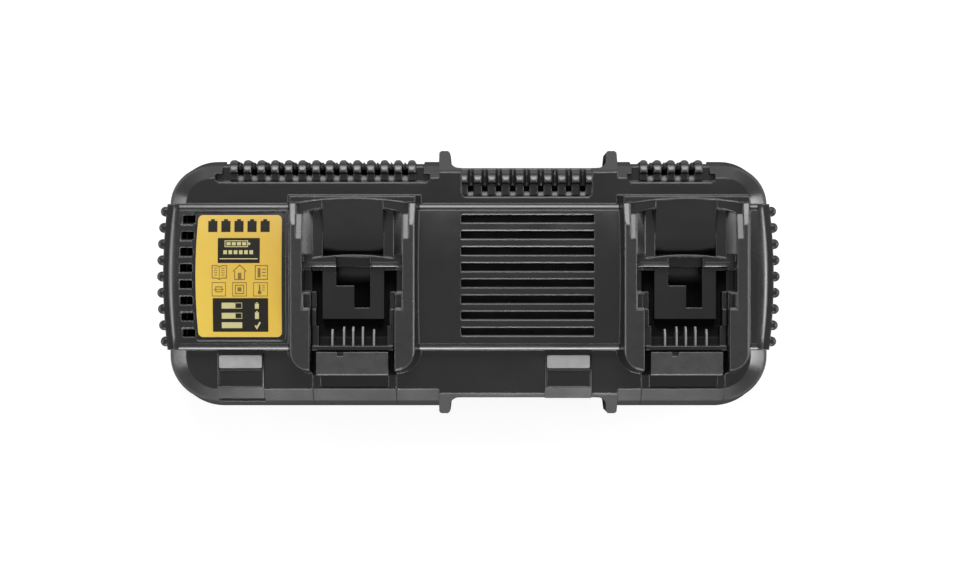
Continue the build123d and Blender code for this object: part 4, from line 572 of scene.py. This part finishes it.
def key_cover(name):
    """Black plate that is polished at the rear and matt towards the front."""
    f = Finish(name)
    rear = f.spread(f.add("ShaderNodeSeparateXYZ", Vector=f.place).outputs["Y"], *POLISHED_TO_MATT, 0.0, 1.0)
    specks = f.spread(f.noise(0.8), 0.4, 0.8, 0.0, 0.6)
    f.set(Base_Color=f.blend(specks, (0.002, 0.002, 0.002), (0.004, 0.004, 0.004)))
    f.set(Roughness=f.spread(rear, 0.0, 1.0, 0.8, 0.25), Normal=f.bump(f.noise(0.4), 0.01))
    f.set(Specular_IOR_Level=f.spread(rear, 0.0, 1.0, 0.08, 0.5))


key_cover("cover_black")
print("covers change from matt to polished over", POLISHED_TO_MATT, "m")

# %% [markdown]
# The coils are wound: copper wire on the chokes, yellow tape round the transformer. Modelling each turn
# would cost very many faces, so the Wave texture draws the turns side by side, with a dark gap between
# them and a bump across them.

# %% Windings
WAVE_AT_SCALE_1 = 0.314  # how far apart the Wave texture's bands are at a scale of 1
WINDINGS = {
    "winding_tape": dict(colour=(0.72, 0.55, 0.08), gap=(0.45, 0.32, 0.04), turn_mm=5.0, direction="Z"),
    "coil_copper": dict(colour=(0.5, 0.2, 0.06), gap=(0.12, 0.04, 0.01), turn_mm=1.1, direction="X"),
}


def wound(name, colour, gap, turn_mm, direction):
    """Turns of wire or tape lying side by side."""
    f = Finish(name)
    turns = f.add("ShaderNodeTexWave", {"bands_direction": direction}, Vector=f.place, Distortion=0.6,
                  Detail=1.0, Scale=WAVE_AT_SCALE_1 / (turn_mm * MM)).outputs["Fac"]
    shade = f.blend(f.spread(turns, 0.0, 0.45, 1.0, 0.0), colour, gap)
    f.set(Base_Color=f.blend(f.spread(f.noise(6), 0.4, 0.8, 0.0, 0.4), shade, tuple(c * 0.6 for c in colour)))
    f.set(Roughness=f.spread(turns, 0.0, 1.0, 0.45, 0.3), Normal=f.bump(turns, 0.15))
    f.set(Coat_Weight=0.3, Coat_Roughness=0.2)


for name, values in WINDINGS.items():
    wound(name, **values)
print("finishes in all:", len(finishes))

# %% [markdown]
# Each CAD node is named in the record with the finish it is moulded or made in. The node keeps its
# shape, and only what its material slots hold is exchanged. The covers under the key slots are recorded
# in the screen's plastic, and they alone take another finish than the recorded one.

# %% Dress the CAD nodes
for row in frame["record"]["subparts"]:
    node = nodes[row["node"]]
    finish = finishes["cover_black" if "cover" in row["node"] else row["material_slot"]]
    if not node.material_slots:
        node.data.materials.append(finish)
    for slot in node.material_slots:
        slot.material = finish
print("dressed:", len(nodes))

# %% [markdown]
# Some forms of the mouldings are fitted over the model here. Each is drawn as a free mesh, and one helper
# turns it into a piece that stays with the case. A rounded form is shaded smooth, and the edges that turn
# by more than a set angle stay sharp.

# %% Pieces of our own
SHARP_ANGLE = math.radians(40)


def make_piece(name, form, finish):
    """Turns a finished form into a piece that rides with the case."""
    mesh = bpy.data.meshes.new(name)
    form.to_mesh(mesh)
    form.free()
    mesh.materials.append(finish)
    piece = bpy.data.objects.new(name, mesh)
    bpy.context.scene.collection.objects.link(piece)
    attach(piece, "root")
    print(name, "faces:", len(mesh.polygons))
    return piece


def make_moulding(name, form):
    """A piece of the case's plastic, smooth over its rounds and sharp at its edges."""
    bmesh.ops.recalc_face_normals(form, faces=form.faces)
    piece = make_piece(name, form, finishes["toe_black"])
    piece.data.shade_smooth()
    piece.data.set_sharp_from_angle(angle=SHARP_ANGLE)


print("pieces stay sharp over", round(math.degrees(SHARP_ANGLE)), "degrees")

# %% [markdown]
# Each bay has a ramp down its middle, which the model ends in a hard step behind the ledge. The moulding
# runs on in a soft hollow there, deeper at its two front corners, so the underside of a pack can't jam.
# Its height is a sum of simple parts: the long slope, a hollow along the ledge and one in each corner.
# Sizes of these forms are in millimetres, and turn into metres where the points are made.

# %% Heights of the ramp and its toe
RAMP_END, RAMP_END_HEIGHT = 24.0, 70.5
RAMP_RISE, RAMP_RUN = 9.0, 26.0
STEP_DROP, STEP_RUN = 6.5, 5.5
FLAT_HEIGHT = 64.0
TOE_PROUD = 0.02
HOLLOW_DEPTH, CORNER_DEPTH = 1.5, 1.0


def smooth_step(value, low, high):
    """0 below low, 1 above high, and an even S between them."""
    t = min(1.0, max(0.0, (value - low) / (high - low)))
    return t * t * (3 - 2 * t)


def long_slope(y):
    """Height of the ramp's long slope at y, also past its end."""
    return RAMP_END_HEIGHT + (y - RAMP_END) * RAMP_RISE / RAMP_RUN


def model_ramp(y):
    """Height of the model's ramp at y: a long slope, a step and a flat."""
    if y > RAMP_END:
        return long_slope(y)
    return max(FLAT_HEIGHT, RAMP_END_HEIGHT - (RAMP_END - y) * STEP_DROP / STEP_RUN)


def toe_height(x, y):
    """Height of the toe: the slope runs on, hollows out at the ledge and sinks in the front corners."""
    hollow = smooth_step(-y, -19.5, -16.5)
    corner = smooth_step(abs(x), 10.0, 18.0) * smooth_step(-y, -22.0, -16.0)
    return long_slope(y) + TOE_PROUD - HOLLOW_DEPTH * hollow - CORNER_DEPTH * corner


print("toe in the middle and at a corner:", round(toe_height(0, 17), 2), round(toe_height(18, 17), 2))

# %% [markdown]
# The toe is a grid of points across the bay and along the ramp, closed below by a second grid that lies
# on the model's step: a grid is the simplest mesh that can be bent two ways. Its front row follows the
# arched rear edge of the ledge.

# %% Toe of the ramps
BAYS = {"left": -70.2, "right": 132.6}
LEDGE_REAR, LEDGE_ARCH = 16.6, 270.6
TOE_HALF = 18.45
TOE_REAR = 27.0
TOE_COLUMNS, TOE_ROWS = 28, 16
SUNK = 0.1


def closed_grid(form, top, bottom):
    """Two grids of points, row by row, joined into a closed body."""
    rows, columns = len(top), len(top[0])
    upper = [[form.verts.new(p) for p in row] for row in top]
    lower = [[form.verts.new(p) for p in row] for row in bottom]
    for r in range(rows - 1):
        for c in range(columns - 1):
            form.faces.new([upper[r][c], upper[r][c + 1], upper[r + 1][c + 1], upper[r + 1][c]])
            form.faces.new([lower[r][c], lower[r + 1][c], lower[r + 1][c + 1], lower[r][c + 1]])
    rim = [(0, c) for c in range(columns)] + [(r, columns - 1) for r in range(1, rows)]
    rim += [(rows - 1, c) for c in range(columns - 2, -1, -1)] + [(r, 0) for r in range(rows - 2, 0, -1)]
    for (r, c), (r2, c2) in zip(rim, rim[1:] + rim[:1]):
        form.faces.new([upper[r][c], lower[r][c], lower[r2][c2], upper[r2][c2]])


for side, centre in BAYS.items():
    top, bottom = [], []
    for r in range(TOE_ROWS + 1):
        upper_row, lower_row = [], []
        for c in range(TOE_COLUMNS + 1):
            x = TOE_HALF * (2 * c / TOE_COLUMNS - 1)
            front = LEDGE_REAR - x * x / LEDGE_ARCH - SUNK
            y = front + (TOE_REAR - front) * r / TOE_ROWS
            place = ((centre + x) * MM, y * MM)
            upper_row.append((*place, toe_height(x, y) * MM))
            lower_row.append((*place, (min(model_ramp(y), toe_height(x, y)) - SUNK) * MM))
        top.append(upper_row)
        bottom.append(lower_row)
    toe_form = bmesh.new()
    closed_grid(toe_form, top, bottom)
    make_moulding("ramp_toe_" + side, toe_form)

# %% [markdown]
# The raised band doesn't meet its faces in a sharp bevel: the moulding rounds over them. The round is a
# quarter of an ellipse, so whatever the light's angle, it shows one bright line. A rounded edge is a row
# of such profiles with a skin stretched between them, which can follow any line that the edge takes.

# %% Profiles and their skin
EDGE_STEPS = 10


def fall(share, drop, straight):
    """How far the edge has fallen at a share of its width; straight is 1 for a chamfer, 0 for a round."""
    return drop * (straight * share + (1 - straight) * (1 - math.sqrt(1 - share ** 2)))


def edge_profile(inner, outer, top, drop, straight, foot):
    """Points (place, z) from the crown over the edge, down to the foot and back."""
    points = []
    for k in range(EDGE_STEPS + 1):
        share = math.sin(k / EDGE_STEPS * math.pi / 2)
        points.append((inner + (outer - inner) * share, top - fall(share, drop, straight)))
    return points + [(outer, foot), (inner, foot)]


def skin(name, *runs):
    """Stretches a skin between the profiles of each run, closes its ends and makes one piece."""
    form = bmesh.new()
    for rings in runs:
        rows = [[form.verts.new((x * MM, y * MM, z * MM)) for x, y, z in ring] for ring in rings]
        for low, high in zip(rows, rows[1:]):
            for k in range(len(low)):
                n = (k + 1) % len(low)
                form.faces.new([low[k], low[n], high[n], high[k]])
        form.faces.new(rows[0])
        form.faces.new(rows[-1])
    make_moulding(name, form)


print("profile of an edge:", len(edge_profile(0, 1, 1, 1, 0, 0)), "points")

# %% [markdown]
# Along the front and the rear of the band the profile stands still. It is cut off where the towers stand,
# so each edge has three lengths, and at the case's ends it leans in as the band's own bevel does.

# %% Front and rear edges of the band
BAND_FOOT = 59.0
SKIN_FOOT = BAND_FOOT - 0.98
BAND_MIDDLE = 3.05
DOME_RADIUS = 238.0
DOME_TOP = 70.03
BEVEL_LEAN = 0.51
ENDS_FROM = 175
EDGES = {  # inner and outer y, drop, share of a chamfer
    "rear": (44.25, 48.04, 2.2, 0.0),
    "front": (-38.15, -41.94, 2.75, 0.5),
}
EDGE_LENGTHS = {"left": (-180.8, -110.5), "middle": (-29.9, 92.3), "right": (172.9, 180.8)}


def dome_height(y):
    """Height of the band's crown at y."""
    return DOME_TOP - DOME_RADIUS + math.sqrt(DOME_RADIUS ** 2 - (y - BAND_MIDDLE) ** 2)


def leaning(x, z):
    """x at the end of the case, leaning in with height as the band's own end does."""
    return x - math.copysign(max(0.0, z - BAND_FOOT) * BEVEL_LEAN, x) if abs(x) > ENDS_FROM else x


for place, (inner, outer, drop, straight) in EDGES.items():
    profile = edge_profile(inner, outer, dome_height(inner), drop, straight, SKIN_FOOT)
    for side, length in EDGE_LENGTHS.items():
        skin(f"band_edge_{place}_{side}", [[(leaning(x, z), y, z) for y, z in profile] for x in length])

# %% [markdown]
# At both ends of the case the profile follows the crown of the band and the bulge of its outline. Its
# rows stand closer where the crown rounds over to the front and the rear, because a skin can only bend
# where it has a row.

# %% Ends of the band
BAND_SPAN = 44.95
BAND_END = 183.7
BAND_BOW = 2.8
END_SLOPE = 0.62
END_STRAIGHT = 0.5
END_PROUD, END_SPARE = 0.04, 0.1
END_RINGS = 20
END_ROWS = [-41.8, -41.4, -40.7, -39.6]
END_ROWS += [-38.1 + 82.3 * k / END_RINGS for k in range(END_RINGS + 1)]
END_ROWS += [45.4, 46.4, 47.2, 47.7, 47.95]


def crown(y):
    """Height of the band at y with its front and rear edges."""
    for inner, outer, drop, straight in EDGES.values():
        share = (y - inner) / (outer - inner)
        if share > 0:
            return dome_height(inner) - fall(min(1.0, share), drop, straight)
    return dome_height(y)


for side, sign in (("left", -1), ("right", 1)):
    rings = []
    for y in END_ROWS:
        outer = BAND_END - BAND_BOW * ((y - BAND_MIDDLE) / BAND_SPAN) ** 2 + END_PROUD
        width = BEVEL_LEAN * (crown(y) - BAND_FOOT) + END_SPARE
        profile = edge_profile(outer - width, outer, crown(y), END_SLOPE * width, END_STRAIGHT, SKIN_FOOT)
        rings.append([(sign * x, y, z) for x, z in profile])
    skin("band_end_" + side, rings)

# %% [markdown]
# The two ends of the case stand almost upright and turn into their chamfer in a soft round, where the
# model leans in evenly all the way. A swell fills the difference: full at the end, and fading out round
# each corner with the direction that the wall faces. Its profile runs from the parting line up the wall,
# over the round and up the chamfer, and back just inside the model's own wall.

# %% Swells of the case's ends
CASE_HALF_LENGTH = 185.7
CORNERS = ((75.7, 28.0, 100, 180), (-77.5, 32.0, 180, 260))  # outermost y, radius, first and last turn
CORNER_STEPS = 16
PARTING_HEIGHT = 30.1
WALL_INSET = 3.97
CHAMFER_INSET, CHAMFER_TOP = 11.5, 58.03
SWELL = 3.4
FADE_AT = 0.17


def swell_profile(facing):
    """Insets from the parting line's outline, and heights, for a wall facing the end by a share."""
    top = WALL_INSET - SWELL * max(0.0, facing - FADE_AT) / (1 - FADE_AT)
    wall = [(0.0, PARTING_HEIGHT), (top * 0.85, 47.0)]
    turn_over = [(top + 0.1, 49.1), (top + 0.9, 50.5), (top + 2.4, 51.85)]
    inside = [(CHAMFER_INSET + 0.3, 57.6), (4.6, 49.8), (0.4, PARTING_HEIGHT)]
    return wall + turn_over + [(CHAMFER_INSET, CHAMFER_TOP)] + inside


for side, sign in (("left", 1), ("right", -1)):
    rings = []
    for corner_y, radius, first, last in CORNERS:
        middle_y = corner_y - math.copysign(radius, corner_y)
        for k in range(CORNER_STEPS + 1):
            turn = math.radians(first + (last - first) * k / CORNER_STEPS)
            ring = []
            for inset, z in swell_profile(-math.cos(turn)):
                x = -CASE_HALF_LENGTH + radius + (radius - inset) * math.cos(turn)
                ring.append((sign * x, middle_y + (radius - inset) * math.sin(turn), z))
            rings.append(ring)
    skin("end_swell_" + side, rings)

# %% [markdown]
# The ledge behind the contacts ends at the front in a low sloping rib, parted where the key slot runs.
# It guides a pack's foot onto the insert, and its slope shines towards the front. It is the same skin
# over a profile as the band's edges, in two straight lengths to a bay.

# %% Ribs of the ledges
LEDGE_HEIGHT = 74.0
RIB_HEIGHT, RIB_DROP, RIB_STRAIGHT = 1.6, 1.58, 0.8
RIB_REAR, RIB_CROWN, RIB_FRONT = 12.4, 11.5, 9.02
RIB_SUNK = 0.3
RIB_LENGTHS = ((-30.3, -10.3), (11.6, 30.3))

rib_foot = LEDGE_HEIGHT - RIB_SUNK
profile = edge_profile(RIB_CROWN, RIB_FRONT, LEDGE_HEIGHT + RIB_HEIGHT, RIB_DROP, RIB_STRAIGHT, rib_foot)
profile.append((RIB_REAR, rib_foot))
for side, centre in BAYS.items():
    skin("ledge_rib_" + side, *[[[(centre + x, y, z) for y, z in profile] for x in length]
                                for length in RIB_LENGTHS])

# %% [markdown]
# The label is screen printed. Each ink becomes one thin sheet of its own, because that is how it is
# printed and because an edge in the mesh stays crisp close up. A sheet is drawn flat first. Then it is
# cut into strips, so that it can bend with the dome, and every point is cast straight down onto the label.

# %% From a flat sheet to the dome
STRIP = 3 * MM
CAST_FROM = 0.2
INK_LIFT = 0.06 * MM
INK_THICKNESS = 0.05 * MM
label_low, label_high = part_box("label_plate")
label_surface = BVHTree.FromObject(nodes["label_plate"], bpy.context.evaluated_depsgraph_get())


def cut_into_strips(form):
    """Cuts every flat shape into strips that run along the case."""
    cut = math.ceil(label_low.y / STRIP) * STRIP
    while cut < label_high.y:
        whole = form.verts[:] + form.edges[:] + form.faces[:]
        bmesh.ops.bisect_plane(form, geom=whole, plane_co=(0, cut, 0), plane_no=(0, 1, 0))
        cut += STRIP


def lay_on_dome(form, layer):
    """Casts flat shapes onto the label, each layer over the last, and gives them their thickness."""
    for face in form.faces:
        if face.normal.z < 0:
            face.normal_flip()
    for point in form.verts:
        hit = label_surface.ray_cast(Vector((point.co.x, point.co.y, CAST_FROM)), Vector((0, 0, -1)))[0]
        point.co.z = hit.z + INK_LIFT * layer
    bmesh.ops.solidify(form, geom=form.faces[:], thickness=INK_THICKNESS)


print("label in mm:", [round(v / MM, 1) for v in label_high - label_low])

# %% [markdown]
# The small pictures are drawn with lines of even width. Each stretch of a line is a shape with four
# corners, and where two stretches meet they share a mitre: its corners lie on the line between the two
# ways, as far out as keeps the width.

# %% Lines with mitred corners
MITRE_LIMIT = 0.3


def sides_of_line(line, points, closed):
    """The corners along the left and along the right side of a line."""
    count = len(points)
    left, right = [], []
    for k, point in enumerate(points):
        here = Vector(point)
        before = Vector(points[k - 1]) if closed or k > 0 else None
        after = Vector(points[(k + 1) % count]) if closed or k < count - 1 else None
        way_in = (here - before).normalized() if before else (after - here).normalized()
        way_out = (after - here).normalized() if after else way_in
        side = Vector((-way_in.y - way_out.y, way_in.x + way_out.x)).normalized()
        reach = line / 2 / max(MITRE_LIMIT, side.dot(Vector((-way_in.y, way_in.x))))
        left.append(here + side * reach)
        right.append(here - side * reach)
    return left, right


print("a line of 2 along u has its sides at v:", [s[0].y for s in sides_of_line(2, [(0, 0), (5, 0)], False)])

# %% [markdown]
# All shapes of one ink go into one sheet, since they are printed in one pass. They are given in
# millimetres from the label's rear left corner, with u running along the case and v to the front, as a
# draughtsman reads a label from its upper left corner.

# %% A sheet of ink


class InkSheet:
    """Flat shapes of one ink, laid on the label together."""

    def __init__(self, name, ink, layer=1):
        self.name = name
        self.ink = ink
        self.layer = layer
        self.form = bmesh.new()

    def outline(self, points):
        """A filled shape from its corners (u, v) in millimetres."""
        flat = [(label_low.x + u * MM, label_high.y - v * MM, 0.0) for u, v in points]
        self.form.faces.new([self.form.verts.new(p) for p in flat])

    def bar(self, u0, v0, u1, v1):
        """An upright rectangle between two corners."""
        self.outline([(u0, v1), (u1, v1), (u1, v0), (u0, v0)])

    def stroke(self, line, points, closed=False):
        """A line of even width along points, with mitred corners."""
        left, right = sides_of_line(line, points, closed)
        for k in range(len(points) if closed else len(points) - 1):
            n = (k + 1) % len(points)
            self.outline([left[k], right[k], right[n], left[n]])

    def frame(self, line, u0, v0, u1, v1):
        """A rectangle drawn as a line."""
        self.stroke(line, [(u0, v0), (u1, v0), (u1, v1), (u0, v1)], closed=True)

    def lay(self):
        """Lays the sheet on the dome and makes the piece."""
        bmesh.ops.recalc_face_normals(self.form, faces=self.form.faces)
        cut_into_strips(self.form)
        lay_on_dome(self.form, self.layer)
        make_piece(self.name, self.form, finishes[self.ink])


print("ink sheets can draw outlines, bars, strokes and frames")

# %% [markdown]
# Dark ink first. At the rear stands a row of five battery cells, under it a block for the charging
# current, and at the front the panel that explains the lamps. None of it is lettering: a charger of no
# make needs no name, and pictures say the same in every language.

# %% Dark ink
FIRST_CELL, CELL_PITCH, CELLS = 7.6, 8.0, 5
CELL_OUTLINE = [(0.0, 10.4), (5.6, 10.4), (5.6, 3.6), (4.0, 3.6), (4.0, 2.5), (1.6, 2.5), (1.6, 3.6),
                (0.0, 3.6)]
CURRENT_BLOCK = (13.6, 14.1, 39.3, 29.4)
LAMP_PANEL = (10.5, 50.9, 44.4, 71.5)

dark = InkSheet("label_print_dark", "ink_dark")
for k in range(CELLS):
    dark.outline([(FIRST_CELL + k * CELL_PITCH + u, v) for u, v in CELL_OUTLINE])
dark.bar(*CURRENT_BLOCK)
dark.bar(*LAMP_PANEL)
dark.lay()

# %% [markdown]
# The six small pictures are fine lines in brown. The upper row has a book for the manual, a house for
# indoor use and a pack on its rails. They are drawn with strokes of one width, as a pen would.

# %% Upper row of brown pictures
LINE = 0.55
FINE = 0.42
BOOK_PAGES = ([(14.6, 31.8), (13.0, 31.0), (10.2, 31.0), (10.2, 38.6), (13.0, 38.6), (14.6, 39.4)],
              [(14.6, 39.4), (16.2, 38.6), (19.0, 38.6), (19.0, 31.0), (16.2, 31.0), (14.6, 31.8)])
BOOK_SPINE = (14.4, 32.0, 14.8, 39.2)
HOUSE_ROOF = [(22.9, 34.6), (27.0, 30.6), (31.1, 34.6)]
HOUSE_WALLS = [(24.0, 34.2), (24.0, 39.5), (30.0, 39.5), (30.0, 34.2)]
HOUSE_DOOR = (25.9, 35.4, 28.1, 39.3)

brown = InkSheet("label_print_lines", "ink_brown")
for page in BOOK_PAGES:
    brown.stroke(LINE, page)
brown.bar(*BOOK_SPINE)
for k in range(4):
    v = 32.6 + k * 1.4
    brown.stroke(FINE, [(11.4, v), (13.4, v)])
    brown.stroke(FINE, [(15.8, v), (17.8, v)])
brown.stroke(LINE, HOUSE_ROOF)
brown.stroke(LINE, HOUSE_WALLS)
brown.bar(*HOUSE_DOOR)
brown.frame(LINE, 36.6, 31.0, 44.0, 39.4)
brown.bar(38.0, 32.4, 39.8, 38.2)
for k in range(3):
    brown.stroke(LINE, [(40.8, 33.2 + k * 2.0), (43.0, 33.2 + k * 2.0)])
print("upper row drawn, shapes:", len(brown.form.faces))

# %% [markdown]
# The lower row stands in square frames: a fuse with its wire, the double square of safe insulation and a
# thermometer, whose bulb is a circle of twelve corners.

# %% Lower row of brown pictures
FRAMES = ((10.2, 18.4), (22.7, 31.2), (35.5, 44.0))
FRAME_TOP, FRAME_BOTTOM = 41.4, 49.6
BULB_MIDDLE, BULB_RADIUS, BULB_CORNERS = (39.2, 47.4), 1.2, 12

for u0, u1 in FRAMES:
    brown.frame(FINE, u0, FRAME_TOP, u1, FRAME_BOTTOM)
brown.stroke(LINE, [(11.2, 45.5), (12.4, 45.5)])
brown.stroke(LINE, [(16.2, 45.5), (17.4, 45.5)])
brown.frame(LINE, 12.4, 44.0, 16.2, 47.0)
brown.stroke(FINE, [(12.4, 45.5), (16.2, 45.5)])
brown.frame(LINE, 24.4, 43.0, 29.5, 48.1)
brown.bar(25.7, 44.3, 28.2, 46.8)
brown.bar(38.7, 42.6, 39.7, 46.8)
turns = [a * 2 * math.pi / BULB_CORNERS for a in range(BULB_CORNERS)]
brown.outline([(BULB_MIDDLE[0] + BULB_RADIUS * math.cos(turn), BULB_MIDDLE[1] + BULB_RADIUS * math.sin(turn))
               for turn in turns])
for k in range(3):
    brown.stroke(FINE, [(40.8, 43.2 + k * 1.4), (42.4, 43.2 + k * 1.4)])
brown.lay()

# %% [markdown]
# Cream ink lies on the dark: a battery and its polarity in the upper block, and in the panel three bars
# for charging, nearly full and full, each with the lamp's picture beside it.

# %% Cream ink on the dark
LEVELS = ((53.8, 8.3), (60.0, 8.3), (65.8, 12.2))  # top of each bar and how far it is filled
BAR_LEFT, BAR_RIGHT, BAR_HEIGHT = 16.1, 28.3, 3.3
TICK = [(36.4, 67.6), (37.4, 69.2), (39.4, 65.6)]

cream = InkSheet("label_print_cream", "ink_cream", layer=2)
cream.frame(0.5, 18.0, 15.8, 31.8, 19.4)
cream.bar(32.2, 16.9, 33.4, 18.3)
for k in range(4):
    cream.bar(18.9 + k * 3.2, 16.6, 21.4 + k * 3.2, 18.6)
for k in range(6):
    cream.bar(17.0 + k * 3.2, 21.6, 19.2 + k * 3.2, 24.0)
cream.bar(14.8, 26.5, 38.1, 27.1)
for top, filled in LEVELS:
    cream.frame(0.3, BAR_LEFT, top, BAR_RIGHT, top + BAR_HEIGHT)
    cream.bar(BAR_LEFT, top, BAR_LEFT + filled, top + BAR_HEIGHT)
for battery, contact in (((36.3, 54.2, 38.7, 57.4), (37.0, 53.4, 38.0, 54.0)),
                         ((36.3, 59.6, 38.7, 63.6), (37.0, 58.8, 38.0, 59.4))):
    cream.bar(*battery)
    cream.bar(*contact)
cream.stroke(1.0, TICK)
cream.lay()
